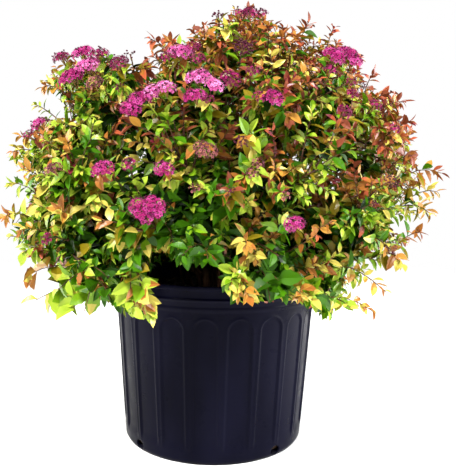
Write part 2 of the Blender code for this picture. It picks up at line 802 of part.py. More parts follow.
def keep_outer_body(mesh):
    """Drops loose scraps and fills sealed hollows, keeping the largest closed surface."""
    shape = bmesh.new()
    shape.from_mesh(mesh)
    bmesh.ops.triangulate(shape, faces=shape.faces)
    shape.faces.ensure_lookup_table()
    unseen = set(shape.faces)
    islands = []
    while unseen:
        stack = [unseen.pop()]
        island = set(stack)
        while stack:
            for edge in stack.pop().edges:
                for face in edge.link_faces:
                    if face in unseen:
                        unseen.discard(face)
                        island.add(face)
                        stack.append(face)
        islands.append(island)
    largest = max(islands, key=len)
    spare = [face for island in islands if island is not largest for face in island]
    bmesh.ops.delete(shape, geom=spare, context="FACES")
    loose = [vertex for vertex in shape.verts if not vertex.link_faces]
    bmesh.ops.delete(shape, geom=loose, context="VERTS")
    shape.to_mesh(mesh)
    shape.free()


def triangle_section(collection):
    """The three-sided section that twigs are swept with, of radius one."""
    curve = bpy.data.curves.new("twig_section", "CURVE")
    curve.dimensions = "2D"
    curve.fill_mode = "NONE"
    spline = curve.splines.new("POLY")
    spline.use_cyclic_u = True
    spline.points.add(2)
    for number, point in enumerate(spline.points):
        angle = math.tau * number / 3
        point.co = (math.cos(angle), math.sin(angle), 0.0, 1.0)
    section = bpy.data.objects.new("twig_section", curve)
    collection.objects.link(section)
    section.hide_render = True
    section.display_type = "WIRE"
    return section


def main():
    """Builds the whole plant and its pot."""
    clear_scene()
    model = new_collection(MODEL)
    cutters = new_collection("cutters")
    pieces = new_collection("loose_foliage")
    build_pot(model, cutters)
    build_soil(model)
    masses = list_masses()
    build_limbs(masses, model)
    forms = {"section": triangle_section(cutters), "leaf": leaf_mesh(), "flower": flower_mesh()}
    for mass in masses:
        build_mass(mass, masses, model, pieces, forms)
    bpy.data.collections.remove(pieces)


main()
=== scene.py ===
# %% [markdown]
# # A potted Japanese spirea
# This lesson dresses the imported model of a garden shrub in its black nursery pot. The model gives the
# true sizes: the pot, its potting mix, six stems, seven boughs and thirteen masses of foliage. Each of
# them gets its fine surface here, in the same place. Leaves and flowers number thousands, so they are
# made as whole arrays with numpy, which is quick and gives the same plant at every run.

# %% Load the frame
import math

import bpy
import numpy as np
from mathutils import Matrix, Vector


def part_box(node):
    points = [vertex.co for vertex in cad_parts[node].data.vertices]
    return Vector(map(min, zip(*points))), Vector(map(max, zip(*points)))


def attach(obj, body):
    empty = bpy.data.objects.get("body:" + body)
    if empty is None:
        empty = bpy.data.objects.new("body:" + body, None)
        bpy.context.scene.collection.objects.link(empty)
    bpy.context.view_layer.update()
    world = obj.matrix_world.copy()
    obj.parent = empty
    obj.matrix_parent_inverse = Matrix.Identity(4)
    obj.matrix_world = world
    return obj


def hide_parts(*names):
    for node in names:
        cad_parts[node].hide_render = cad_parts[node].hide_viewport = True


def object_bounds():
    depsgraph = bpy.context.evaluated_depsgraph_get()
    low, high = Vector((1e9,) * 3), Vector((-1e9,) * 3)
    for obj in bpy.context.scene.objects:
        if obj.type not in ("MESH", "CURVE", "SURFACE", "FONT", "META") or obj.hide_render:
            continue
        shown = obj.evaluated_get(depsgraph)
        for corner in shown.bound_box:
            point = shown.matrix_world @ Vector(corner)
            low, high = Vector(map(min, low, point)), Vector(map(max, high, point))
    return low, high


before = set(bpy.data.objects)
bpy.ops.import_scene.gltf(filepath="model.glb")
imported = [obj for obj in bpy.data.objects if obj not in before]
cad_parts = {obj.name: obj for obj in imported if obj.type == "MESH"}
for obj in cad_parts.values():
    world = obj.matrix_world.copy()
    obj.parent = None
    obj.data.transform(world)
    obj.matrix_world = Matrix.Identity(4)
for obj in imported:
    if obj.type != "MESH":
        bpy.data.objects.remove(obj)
cad_bounds = [list(corner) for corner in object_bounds()]
CAD_LOW, CAD_HIGH = (np.array(corner) for corner in cad_bounds)
rng = np.random.default_rng(7)
print("nodes in the frame:", len(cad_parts))

# %% [markdown]
# ## Camera
# The photograph was taken from a little under eighty centimetres, at the height of the crown's middle,
# with the lens tipped down a few degrees. The same camera serves twice here: it frames the render, and
# its rays carry places that are marked on the photograph into the model's space.

# %% Camera
PHOTO_WIDTH = 456
PHOTO_HEIGHT = 474
FOCAL_PIXELS = 570.0
SENSOR_WIDTH = 36.0
CAMERA_DISTANCE = 0.779
CAMERA_HEIGHT = 0.314
CAMERA_PITCH = math.radians(3.5)
CAMERA_YAW = math.radians(1.19)
CAMERA_ROLL = math.radians(1.03)

camera_place = (
    Matrix.Translation((0.0, -CAMERA_DISTANCE, CAMERA_HEIGHT))
    @ Matrix.Rotation(-CAMERA_YAW, 4, "Z")
    @ Matrix.Rotation(math.pi / 2 - CAMERA_PITCH, 4, "X")
    @ Matrix.Rotation(CAMERA_ROLL, 4, "Z")
)
camera_data = bpy.data.cameras.new("camera")
camera_data.sensor_width = SENSOR_WIDTH
camera_data.lens = FOCAL_PIXELS * SENSOR_WIDTH / PHOTO_HEIGHT
camera = bpy.data.objects.new("camera", camera_data)
camera.matrix_world = camera_place
bpy.context.scene.collection.objects.link(camera)
bpy.context.scene.camera = camera
print("lens of %.1f mm" % camera_data.lens)

# %% Rays and pixels
CAMERA_SPOT = np.array(camera_place.translation)
CAMERA_TURN = np.array(camera_place.to_3x3())


def unit(vectors):
    """Vectors divided by their own lengths."""
    return vectors / np.linalg.norm(vectors, axis=-1, keepdims=True)


def photo_rays(pixels):
    """Unit directions through pixels: across and up from the picture's middle, one focal length ahead."""
    across = pixels[..., 0] - PHOTO_WIDTH / 2
    up = PHOTO_HEIGHT / 2 - pixels[..., 1]
    return unit(np.stack([across, up, np.full(across.shape, -FOCAL_PIXELS)], axis=-1) @ CAMERA_TURN.T)


def photo_pixels(points):
    """Where points fall in the photograph: their place beside the lens axis over their depth."""
    local = (points - CAMERA_SPOT) @ CAMERA_TURN
    across = PHOTO_WIDTH / 2 - FOCAL_PIXELS * local[..., 0] / local[..., 2]
    down = PHOTO_HEIGHT / 2 + FOCAL_PIXELS * local[..., 1] / local[..., 2]
    return np.stack([across, down], axis=-1)


print("pot's foot in the picture:", photo_pixels(np.zeros(3)).round(1))

# %% [markdown]
# ## Mesh tools
# Almost every shape here is a stack of rings: the pot, the mound of mix, each stem and each twig. One
# helper closes such stacks with a pole at both ends, for one skin or for a thousand at once, and
# another puts any arrays of points and faces into a mesh. A third gives smooth noise for relief.

# %% Mesh tools


def new_piece(name, points, faces, materials, slots=None, smooth=True):
    """A mesh object from points, and arrays of faces with one array for each number of corners."""
    corners = np.concatenate([group.ravel() for group in faces])
    sizes = np.concatenate([np.full(len(group), group.shape[1]) for group in faces])
    starts = np.cumsum(sizes) - sizes
    mesh = bpy.data.meshes.new(name)
    for material in materials:
        mesh.materials.append(material)
    mesh.vertices.add(len(points))
    mesh.vertices.foreach_set("co", np.asarray(points, np.float32).ravel())
    mesh.loops.add(len(corners))
    mesh.loops.foreach_set("vertex_index", corners.astype(np.int32))
    mesh.polygons.add(len(sizes))
    mesh.polygons.foreach_set("loop_start", starts.astype(np.int32))
    mesh.polygons.foreach_set("use_smooth", np.full(len(sizes), smooth))
    if slots is not None:
        mesh.polygons.foreach_set("material_index", slots.astype(np.int32))
    mesh.update(calc_edges=True)
    mesh.validate()
    piece = bpy.data.objects.new(name, mesh)
    bpy.context.scene.collection.objects.link(piece)
    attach(piece, "root")
    print("%s: %d triangles" % (name, (sizes - 2).sum()))
    return piece


def grid_faces(rows, columns):
    """Quads of a stack of rings whose points run ring by ring, with the last column joined to the first."""
    first = np.arange(rows - 1)[:, None] * columns
    here = np.arange(columns)[None]
    there = (here + 1) % columns
    quads = [first + here, first + there, first + columns + there, first + columns + here]
    return np.stack(quads, axis=-1).reshape(-1, 4)


def repeated(faces, count, stride):
    """The faces of one shape, numbered on by stride for each of its copies."""
    steps = np.arange(count)[:, None, None] * stride
    return [(group[None] + steps).reshape(-1, group.shape[1]) for group in faces]


def closed_skins(rings):
    """Points and faces of closed skins, from an array of skins by rings by points by three.

    A ring's points run anticlockwise as seen from the stack's far end, so that the faces point
    outwards. Each end is closed by a fan to a pole in the middle of its ring.
    """
    count, rows, columns = rings.shape[:3]
    poles = rings[:, [0, -1]].mean(axis=2)
    points = np.concatenate([rings.reshape(count, -1, 3), poles], axis=1)
    here = np.arange(columns)
    there = (here + 1) % columns
    last = (rows - 1) * columns
    foot = np.stack([np.full(columns, rows * columns), there, here], axis=-1)
    head = np.stack([np.full(columns, rows * columns + 1), last + here, last + there], axis=-1)
    faces = [grid_faces(rows, columns), np.concatenate([foot, head])]
    return points.reshape(-1, 3), repeated(faces, count, rows * columns + 2)


def relief(points, size, seed, octaves=3, waves=9):
    """Smooth noise of about -1 to 1: sine waves in random directions, each octave half as large."""
    picks = np.random.default_rng(seed)
    total = np.zeros(points.shape[:-1])
    for octave in range(octaves):
        ways = unit(picks.normal(size=(waves, 3))) * math.tau * 2 ** octave / size
        starts = picks.uniform(0.0, math.tau, waves)
        total += np.sin(points @ ways.T + starts).sum(axis=-1) / 2 ** octave
    return total * 0.5 / math.sqrt(waves)


def smooth_step(values):
    """0 up to 0, 1 from 1 on, and three t squared less two t cubed between."""
    share = np.clip(values, 0.0, 1.0)
    return share * share * (3.0 - 2.0 * share)


# %% [markdown]
# ## Finishes
# Four finishes carry a pattern: the pot's moulded plastic, the crumbly mix, and the bark of limbs and of
# twigs. Their nodes read Object coordinates, so the pattern stays on the piece. Leaves and petals are
# plain colours, one material for each tint, because a tint has its place on the plant and is dealt out
# spray by spray.

# %% Material tools


def paint(red, green, blue):
    """The shader's linear colour for a colour given in the 256 steps of a picture."""
    steps = np.array([red, green, blue]) / 255
    return tuple(np.where(steps <= 0.04045, steps / 12.92, ((steps + 0.055) / 1.055) ** 2.4))


def new_material(name, colour, roughness, specular=0.5):
    """A Principled material of one colour."""
    material = bpy.data.materials.new(name)
    material.use_nodes = True
    shader = material.node_tree.nodes["Principled BSDF"]
    shader.inputs["Base Color"].default_value = (*colour, 1.0)
    shader.inputs["Roughness"].default_value = roughness
    shader.inputs["Specular IOR Level"].default_value = specular
    return material


def link(material, source, target):
    """Joins an output socket to an input socket."""
    material.node_tree.links.new(source, target)


def noise(material, scale, detail=4.0, stretch=(1.0, 1.0, 1.0)):
    """Noise on the piece's own coordinates, stretched along its axes."""
    nodes = material.node_tree.nodes
    place = nodes.new("ShaderNodeTexCoord")
    mapping = nodes.new("ShaderNodeMapping")
    mapping.inputs["Scale"].default_value = stretch
    texture = nodes.new("ShaderNodeTexNoise")
    texture.inputs["Scale"].default_value = scale
    texture.inputs["Detail"].default_value = detail
    link(material, place.outputs["Object"], mapping.inputs["Vector"])
    link(material, mapping.outputs["Vector"], texture.inputs["Vector"])
    return texture.outputs["Fac"]


def ramp(material, value, low, high, start=0.35, end=0.65):
    """Colours from low to high as a value goes from start to end."""
    scale = material.node_tree.nodes.new("ShaderNodeValToRGB")
    for element, place, colour in zip(scale.color_ramp.elements, (start, end), (low, high)):
        element.position = place
        element.color = (*colour, 1.0)
    link(material, value, scale.inputs["Fac"])
    return scale.outputs["Color"]


def finish_surface(material, colour=None, rough=None, height=None, strength=0.3, distance=0.001):
    """Joins a pattern to the shader's colour, roughness and normal."""
    nodes = material.node_tree.nodes
    shader = nodes["Principled BSDF"]
    if colour is not None:
        link(material, colour, shader.inputs["Base Color"])
    if rough is not None:
        link(material, rough, shader.inputs["Roughness"])
    if height is not None:
        bump = nodes.new("ShaderNodeBump")
        bump.inputs["Strength"].default_value = strength
        bump.inputs["Distance"].default_value = distance
        link(material, height, bump.inputs["Height"])
        link(material, bump.outputs["Normal"], shader.inputs["Normal"])


def grey(value):
    """A grey of that value, for roughness."""
    return (value, value, value)


# %% Patterned finishes
pot_plastic = new_material("pot_plastic", paint(6, 6, 20), 0.28, 0.030)
smudges = noise(pot_plastic, 14.0, 5.0, (1.0, 1.0, 0.35))
finish_surface(
    pot_plastic,
    colour=ramp(pot_plastic, smudges, paint(3, 3, 14), paint(9, 9, 24)),
    rough=ramp(pot_plastic, noise(pot_plastic, 40.0), grey(0.26), grey(0.38)),
    height=noise(pot_plastic, 900.0, 2.0),
    strength=0.06,
    distance=0.0004,
)

potting_mix = new_material("potting_mix", paint(34, 25, 19), 0.95, 0.1)
finish_surface(
    potting_mix,
    colour=ramp(potting_mix, noise(potting_mix, 160.0, 6.0), paint(18, 13, 10), paint(56, 42, 31)),
    height=noise(potting_mix, 420.0, 6.0),
    strength=0.8,
    distance=0.0015,
)

bark = new_material("stem_bark", paint(74, 50, 37), 0.75, 0.2)
streaks = noise(bark, 260.0, 4.0, (1.0, 1.0, 0.12))
finish_surface(
    bark,
    colour=ramp(bark, streaks, paint(48, 30, 23), paint(112, 82, 60)),
    height=streaks,
    strength=0.5,
    distance=0.0006,
)
print("patterned finishes:", pot_plastic.name, potting_mix.name, bark.name)

# %% [markdown]
# ## Pot
# A squat three gallon nursery container, blow moulded from black plastic: a rolled rim, two beads, and
# twenty sunken panels with round heads. It could be turned and its panels cut, but a cut leaves sharp
# creases. Here the wall is a surface of azimuth and height whose radius dips by a smooth step at each
# panel's edge, so the edges are soft and catch the light in thin lines, as moulded plastic does.

# %% Sizes of the pot
pot_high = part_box("pot")[1]
POT_HEIGHT = pot_high.z
POT_RIM_RADIUS = pot_high.x
POT_BASE_RADIUS = 0.119
POT_RING_RADIUS = 0.134
POT_RING_HEIGHT = 0.190
POT_BEAD_HEIGHT = 0.2015
POT_RIM_WALL = 0.0030
POT_LIP_HEIGHT = 0.0045
POT_EDGE = 0.0012
POT_BODY_TOP = POT_RING_HEIGHT - 0.0040
POT_BODY_TOP_RADIUS = POT_RING_RADIUS - POT_EDGE
POT_WALL = 0.0034
POT_FLOOR = 0.0040
POT_CORNER = 0.0040
POT_WALL_SLOPE = (POT_BODY_TOP_RADIUS - POT_BASE_RADIUS) / POT_BODY_TOP
POT_POLE_RADIUS = 0.012

PANEL_COUNT = 20
PANEL_WIDTH = 0.0315
PANEL_FOOT = 0.014
PANEL_TOP = 0.179
PANEL_DEPTH = 0.0017
PANEL_EDGE = 0.0018
PANEL_LIP = 0.00050
PANEL_FADE = 0.014
PANEL_COLUMNS = 28
FIRST_PANEL = math.radians(-94.7)
FINE_STEP = 0.0010

DRAIN_COUNT = 4
DRAIN_RADIUS = 0.0075
DRAIN_LIFT = 0.0078
DRAIN_RISE = 0.85
DRAIN_LENGTH = 0.016
FIRST_DRAIN_RIB = 2.5
print("pot: %.0f mm across its rim, %.0f mm high" % (POT_RIM_RADIUS * 2000, POT_HEIGHT * 1000))

# %% The pot's section


def inner_radius(height):
    """Radius of the pot's inside at a height, wider above the ring."""
    ring = POT_BODY_TOP_RADIUS - POT_WALL
    heights = (0.0, POT_RING_HEIGHT, POT_HEIGHT)
    return np.interp(height, heights, (POT_BASE_RADIUS - POT_WALL, ring, POT_RIM_RADIUS - POT_RIM_WALL))


def rounded(corners, steps=5):
    """A section with round corners: a quadratic curve from a fillet's length before each to one after."""
    corners = np.array(corners)
    section = [corners[:1, :2]]
    shares = np.linspace(0.0, 1.0, steps)
    for before, corner, after in zip(corners[:-2, :2], corners[1:-1], corners[2:, :2]):
        place, fillet = corner[:2], corner[2]
        sides = [min(fillet, np.linalg.norm(other - place) * 0.48) for other in (before, after)]
        start = place + unit(before - place) * sides[0]
        end = place + unit(after - place) * sides[1]
        section.append(bezier([start, place, end], shares))
    section.append(corners[-1:, :2])
    return np.vstack(section)


def bezier(controls, shares):
    """Points of a Bezier curve: control i times C(n, i), t to the i and (1 - t) to the n - i, summed."""
    degree = len(controls) - 1
    steps = np.asarray(shares)[..., None]
    total = 0.0
    for order, control in enumerate(controls):
        weight = math.comb(degree, order) * steps ** order * (1 - steps) ** (degree - order)
        total = total + weight * np.asarray(control)[..., None, :]
    return total


POT_FOOT = (
    (POT_POLE_RADIUS, 0.0, 0.0),
    (POT_BASE_RADIUS - POT_CORNER * 0.6, 0.0, 0.0012),
    (POT_BASE_RADIUS + POT_WALL_SLOPE * POT_CORNER, POT_CORNER, 0.0030),
    (POT_BASE_RADIUS + POT_WALL_SLOPE * POT_CORNER * 2, POT_CORNER * 2, 0.0),
)
POT_HEAD = (
    (POT_BODY_TOP_RADIUS - POT_WALL_SLOPE * 0.002, POT_BODY_TOP - 0.002, 0.0),
    (POT_BODY_TOP_RADIUS, POT_BODY_TOP, 0.0012),
    (POT_RING_RADIUS + POT_EDGE, POT_RING_HEIGHT, 0.0016),
    (POT_RING_RADIUS + 0.0008, POT_RING_HEIGHT + 0.0035, 0.0012),
    (POT_RIM_RADIUS - 0.0026, POT_BEAD_HEIGHT - 0.0025, 0.0010),
    (POT_RIM_RADIUS - 0.0004, POT_BEAD_HEIGHT, 0.0016),
    (POT_RIM_RADIUS - 0.0020, POT_BEAD_HEIGHT + 0.0020, 0.0010),
    (POT_RIM_RADIUS - 0.0016, POT_HEIGHT - POT_LIP_HEIGHT - 0.0010, 0.0008),
    (POT_RIM_RADIUS, POT_HEIGHT - POT_LIP_HEIGHT, 0.0010),
    (POT_RIM_RADIUS, POT_HEIGHT, 0.0014),
    (inner_radius(POT_HEIGHT), POT_HEIGHT, 0.0012),
    (inner_radius(POT_RING_HEIGHT), POT_RING_HEIGHT, 0.0030),
    (inner_radius(POT_FLOOR), POT_FLOOR, 0.0030),
    (POT_POLE_RADIUS, POT_FLOOR, 0.0),
)


def wall_section():
    """Radius and height of the straight wall's rings, close together where panels fade and arch."""
    arch_foot = PANEL_TOP - PANEL_WIDTH / 2
    foot = np.linspace(PANEL_FOOT - FINE_STEP, PANEL_FOOT + PANEL_FADE, 9)
    arch = np.arange(arch_foot - 2 * FINE_STEP, PANEL_TOP + 3 * FINE_STEP, FINE_STEP)
    heights = np.concatenate([foot, np.linspace(foot[-1], arch[0], 14)[1:-1], arch])
    return np.stack([POT_BASE_RADIUS + POT_WALL_SLOPE * heights, heights], axis=-1)


def panel_inset(across, height):
    """How far inside a panel's outline a place on the wall lies; the outline has a round head."""
    half = PANEL_WIDTH / 2
    return half - np.hypot(across, np.clip(height - PANEL_TOP + half, 0.0, None))


# %% Turn the pot
pot_section = np.vstack([rounded(POT_FOOT), wall_section(), rounded(POT_HEAD)])
wall_rows = slice(len(rounded(POT_FOOT)), len(rounded(POT_FOOT)) + len(wall_section()))
pitch = math.tau / PANEL_COUNT
columns = np.arange(PANEL_COUNT * PANEL_COLUMNS) + 0.5
pot_azimuths = FIRST_PANEL - pitch / 2 + columns * pitch / PANEL_COLUMNS
beside = (columns / PANEL_COLUMNS % 1.0 - 0.5) * pitch
pot_radii = np.repeat(pot_section[:, :1], len(columns), axis=1)
pot_heights = np.repeat(pot_section[:, 1:], len(columns), axis=1)
inset = panel_inset(pot_radii[wall_rows] * beside, pot_heights[wall_rows])
dip = PANEL_DEPTH * smooth_step(inset / PANEL_EDGE)
lip = PANEL_LIP * np.exp(-(inset / PANEL_EDGE) ** 2)
pot_radii[wall_rows] += (lip - dip) * smooth_step((pot_heights[wall_rows] - PANEL_FOOT) / PANEL_FADE)
pot_flat = [pot_radii * np.cos(pot_azimuths), pot_radii * np.sin(pot_azimuths)]
pot_rings = np.stack([*pot_flat, pot_heights], axis=-1)
pot = new_piece("moulded_pot", *closed_skins(pot_rings[None]), [pot_plastic])
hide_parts("pot")

# %% [markdown]
# Four drain holes open low in the pot's wall. They are the one place where a cut is the right
# tool, since a real pot's holes are punched too, so a Boolean takes four short rods out of the wall.

# %% Drain holes


def drain_rods():
    """Rings of short rods that point outwards low in the pot's wall, one for each drain hole."""
    ribs = FIRST_DRAIN_RIB + np.arange(DRAIN_COUNT) * PANEL_COUNT / DRAIN_COUNT
    azimuths = FIRST_PANEL + ribs * pitch
    out = np.stack([np.cos(azimuths), np.sin(azimuths), np.zeros(DRAIN_COUNT)], axis=-1)
    side = np.stack([-out[:, 1], out[:, 0], out[:, 2]], axis=-1)
    turns = np.linspace(0.0, math.tau, 24, endpoint=False)[:, None]
    rings = side[:, None] * np.cos(turns) + np.array([0.0, 0.0, DRAIN_RISE]) * np.sin(turns)
    ends = POT_BASE_RADIUS + np.array([-0.5, 0.5]) * DRAIN_LENGTH
    places = out[:, None] * ends[:, None] + np.array([0.0, 0.0, DRAIN_LIFT])
    return rings[:, None] * DRAIN_RADIUS + places[:, :, None]


rods = new_piece("drain_rods", *closed_skins(drain_rods()), [pot_plastic])
cut = pot.modifiers.new("drains", "BOOLEAN")
cut.operation = "DIFFERENCE"
cut.solver = "EXACT"
cut.object = rods
bpy.context.view_layer.update()
cut_mesh = bpy.data.meshes.new_from_object(pot.evaluated_get(bpy.context.evaluated_depsgraph_get()))
pot.modifiers.clear()
pot.data = cut_mesh
bpy.data.objects.remove(rods, do_unlink=True)
print("pot after its drains:", len(cut_mesh.vertices), "points")

# %% [markdown]
# ## Potting mix
# Bark-based mix lies just under the rim in a low mound. Its skin is turned from a section and then
# roughened by noise, and loose flakes of bark lie on top, each a small ball squashed to its own shape.

# %% Mound of mix
mix_low, mix_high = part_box("potting_mix")
MIX_TOP = mix_high.z
MIX_FOOT = mix_low.z
MIX_EDGE = 0.194
MIX_GAP = 0.0007
MIX_COLUMNS = 120
MIX_ROUGHNESS = 0.0022
MIX_SECTION = (
    (POT_POLE_RADIUS, MIX_FOOT, 0.0),
    (POT_BASE_RADIUS - DRAIN_LENGTH / 2 - 0.001, MIX_FOOT, 0.001),
    (inner_radius(DRAIN_RADIUS + 0.001) - MIX_GAP, DRAIN_RADIUS + 0.001, 0.002),
    (inner_radius(POT_RING_HEIGHT) - MIX_GAP, POT_RING_HEIGHT, 0.001),
    (inner_radius(MIX_EDGE) - MIX_GAP, MIX_EDGE, 0.002),
)


def mound_height(radius):
    """Height of the mound at a distance from its middle: it falls with the square of the distance."""
    edge = inner_radius(MIX_EDGE)
    return MIX_TOP - MIX_ROUGHNESS - (MIX_TOP - MIX_ROUGHNESS - MIX_EDGE) * (radius / edge) ** 2


top_radii = np.linspace(inner_radius(MIX_EDGE) - 0.002, POT_POLE_RADIUS / 4, 50)
mix_section = np.vstack([rounded(MIX_SECTION), np.stack([top_radii, mound_height(top_radii)], axis=-1)])
mix_azimuths = np.arange(MIX_COLUMNS) * math.tau / MIX_COLUMNS
mix_rings = np.stack(
    [
        mix_section[:, :1] * np.cos(mix_azimuths),
        mix_section[:, :1] * np.sin(mix_azimuths),
        np.repeat(mix_section[:, 1:], MIX_COLUMNS, axis=1),
    ],
    axis=-1,
)
top_rows = slice(len(mix_section) - len(top_radii), None)
crumbs = relief(mix_rings[top_rows] * (1, 1, 0), 0.016, 11, octaves=4)
mix_rings[top_rows, :, 2] += MIX_ROUGHNESS * np.clip(crumbs, -1.0, 1.0)
mound = new_piece("mound_of_mix", *closed_skins(mix_rings[None]), [potting_mix])
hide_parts("potting_mix")

# %% Bark flakes
FLAKE_COUNT = 520
FLAKE_SIZES = (0.0014, 0.0046)


def random_turns(count):
    """Random rotation matrices, each from three random vectors squared up in turn."""
    first = unit(rng.normal(size=(count, 3)))
    second = unit(np.cross(first, rng.normal(size=(count, 3))))
    return np.stack([first, second, np.cross(first, second)], axis=-1)


def ball_rings(rows, sides):
    """Rings of a unit ball, from its foot to its head."""
    rise = np.linspace(-1.0, 1.0, rows + 2)[1:-1, None] * math.pi / 2
    turns = np.arange(sides) * math.tau / sides
    flat = np.cos(rise)
    return np.stack([flat * np.cos(turns), flat * np.sin(turns), np.sin(rise) + 0 * turns], axis=-1)


flake_sizes = rng.uniform(*FLAKE_SIZES, (FLAKE_COUNT, 1))
flake_sizes = flake_sizes * rng.uniform((1.0, 0.6, 0.25), (1.5, 0.9, 0.5), (FLAKE_COUNT, 3))
flake_radii = inner_radius(MIX_EDGE) * np.sqrt(rng.uniform(0.0, 0.93, FLAKE_COUNT))
flake_turns = rng.uniform(0.0, math.tau, FLAKE_COUNT)
flake_places = np.stack(
    [
        flake_radii * np.cos(flake_turns),
        flake_radii * np.sin(flake_turns),
        mound_height(flake_radii) + 0.0006,
    ],
    axis=-1,
)
flakes = ball_rings(3, 6)[None] * flake_sizes[:, None, None] * rng.uniform(0.8, 1.2, (FLAKE_COUNT, 3, 6, 1))
flakes = np.einsum("nij,nrcj->nrci", random_turns(FLAKE_COUNT), flakes) + flake_places[:, None, None]
flake_piece = new_piece("bark_flakes", *closed_skins(flakes), [potting_mix], smooth=False)

# %% [markdown]
# ## The crown's plan
# The model grew its foliage by a rule, and the same rule is written again here. Every shoot grows
# inside a ball with a few swellings and hollows, from stems that fan out round a bare middle. Shoots
# aim at the points of a golden spiral, which spreads any number of them evenly over the crown.

# %% The crown's shape
CROWN_CENTRE = np.array([0.009, 0.0, 0.317])
CROWN_REACH = 0.277
BARE_RADIUS = 0.125
HEM_ELEVATION = -37.0
HEM_HEIGHT = 0.146
GOLDEN_ANGLE = 137.508
GOLDEN_TURN = math.radians(GOLDEN_ANGLE)
UP = np.array([0.0, 0.0, 1.0])

# Swellings and hollows of the crown: azimuth, elevation, extra reach and spread
LOBES = (
    (180, 40, 0.024, 17),
    (180, 72, -0.034, 18),
    (5, 76, -0.024, 14),
    (0, 3, 0.030, 9),
    (0, 40, 0.006, 18),
    (180, -18, 0.014, 13),
    (182, -38, -0.016, 12),
    (0, -34, -0.024, 14),
    (92, 28, 0.012, 18),
    (60, 62, -0.014, 16),
    (128, -8, 0.012, 14),
    (-62, 30, 0.006, 16),
)
# The opening under the front leaves where bare stems show
STEM_WINDOW = (-108, -30, 15)
MASS_RINGS = (("skirt", 7, -12, -90), ("shoulder", 5, 33, -54), ("top", 1, 90, 0))


def direction(azimuth, elevation):
    """Unit vectors of azimuths and elevations in degrees."""
    azimuth, elevation = np.radians(azimuth), np.radians(elevation)
    flat = np.cos(elevation)
    rise = np.sin(elevation) + 0 * azimuth
    return np.stack([flat * np.cos(azimuth), flat * np.sin(azimuth), rise], axis=-1)


def crown_reach(towards):
    """Reach of the crown along unit vectors: a ball and a Gaussian of the angle from each lobe."""
    reach = np.full(towards.shape[:-1], CROWN_REACH)
    for azimuth, elevation, extra, spread in LOBES:
        cosine = np.clip(towards @ direction(azimuth, elevation), -1.0, 1.0)
        reach = reach + extra * np.exp(-(np.degrees(np.arccos(cosine)) / spread) ** 2)
    return reach


def spiral(count):
    """Directions on a golden spiral from the crown's hem to its top."""
    low = math.sin(math.radians(HEM_ELEVATION))
    numbers = np.arange(count)
    rise = low + (1.0 - low) * (numbers + 0.5) / count
    return direction(numbers * GOLDEN_ANGLE, np.degrees(np.arcsin(rise)))


mass_names = []
mass_axes = []
for ring, count, elevation, first in MASS_RINGS:
    for number in range(count):
        name = "foliage_top" if ring == "top" else "foliage_%s_%d" % (ring, number + 1)
        mass_names.append(name)
        mass_axes.append(direction(first + number * 360 / count, elevation))
mass_axes = np.array(mass_axes)
print("masses of foliage:", len(mass_names))

# %% [markdown]
# ## Stems and boughs
# Thin reddish stems rise from the mix and lean apart, and boughs leave their sides above the rim. A
# bevelled curve would make them smooth pipes. Here each is a stack of rings carried along its path,
# and the rings' radii hold the bark's lengthwise ridges and the swellings where buds once sat.

# %% Paths of the limbs
SEAT_GAP = 0.0003
STEM_FOOT_RADIUS = 0.0052
STEM_TIP_RADIUS = 0.0026
STEM_FLARE = 1.35
STEM_RING_RADIUS = 0.021
STEM_UPRIGHT = 0.008
STEM_SPREAD = 2.2
STEM_BEND_HEIGHT = 0.110
BOUGH_ROOT_RADIUS = 0.0031
BOUGH_TIP_RADIUS = 0.0021
BOUGH_HEIGHTS = (0.222, 0.234)
BOUGH_SQUARE = 0.005
BOUGH_BEND = (0.026, 0.018)
LIMB_STRAIGHT_END = 0.006
LIMB_RINGS = 64
LIMB_SIDES = 14
BUD_SPACING = 0.017


def limb_to_mass(controls, towards, count):
    """Points of a limb that ends in a short straight run along its mass's direction."""
    end = CROWN_CENTRE + towards * (BARE_RADIUS - SEAT_GAP / 2)
    bend = end - towards * LIMB_STRAIGHT_END
    return np.vstack([bezier([*controls, bend], np.linspace(0.0, 1.0, count)), end])


def stem_path(towards, ring):
    """A stem's centre line, from the mix up and out to its mass."""
    outward = unit(towards * (1, 1, 0) + 1e-9)
    foot_height = MIX_TOP + SEAT_GAP
    foot = outward * ring + UP * foot_height
    rise = foot + UP * STEM_UPRIGHT
    bend = outward * ring * STEM_SPREAD + UP * (foot_height + STEM_BEND_HEIGHT)
    return np.vstack([foot, limb_to_mass([rise, bend], towards, LIMB_RINGS)])


def limb_radii(count, root, tip, flare=1.0):
    """Radii that taper with the share of the length to the 0.8, flared at the foot."""
    steps = np.linspace(0.0, 1.0, count)
    return (root + (tip - root) * steps ** 0.8) * (1.0 + (flare - 1.0) * (1.0 - steps) ** 10)


def bough_path(stem, radii, height, towards):
    """A bough's centre line, square off a stem's side at a height and out to its hanging mass."""
    axis, above = (
        np.array([np.interp(level, stem[:, 2], stem[:, column]) for column in range(3)])
        for level in (height, height + 0.01)
    )
    along = unit(above - axis)
    outward = CROWN_CENTRE + towards * BARE_RADIUS - axis
    outward = unit(outward - along * (outward @ along))
    root = axis + outward * (np.interp(height, stem[:, 2], radii) + SEAT_GAP)
    square = root + outward * BOUGH_SQUARE
    rise = square + outward * BOUGH_BEND[0] + UP * BOUGH_BEND[1]
    return np.vstack([root, limb_to_mass([square, rise], towards, LIMB_RINGS)])


# %% Skins of the limbs
# A direction that no limb follows, from which a pair of axes square to a path can start
SLANT = (0.31, 0.17, 0.94)
RIDGE_SIZE = 0.006
RIDGE_RELIEF = 0.07
SCAR_LENGTH = 0.0016
SCAR_RELIEF = 0.24
SCAR_FREE_TIP = 0.008
PLAIN_END = 0.004


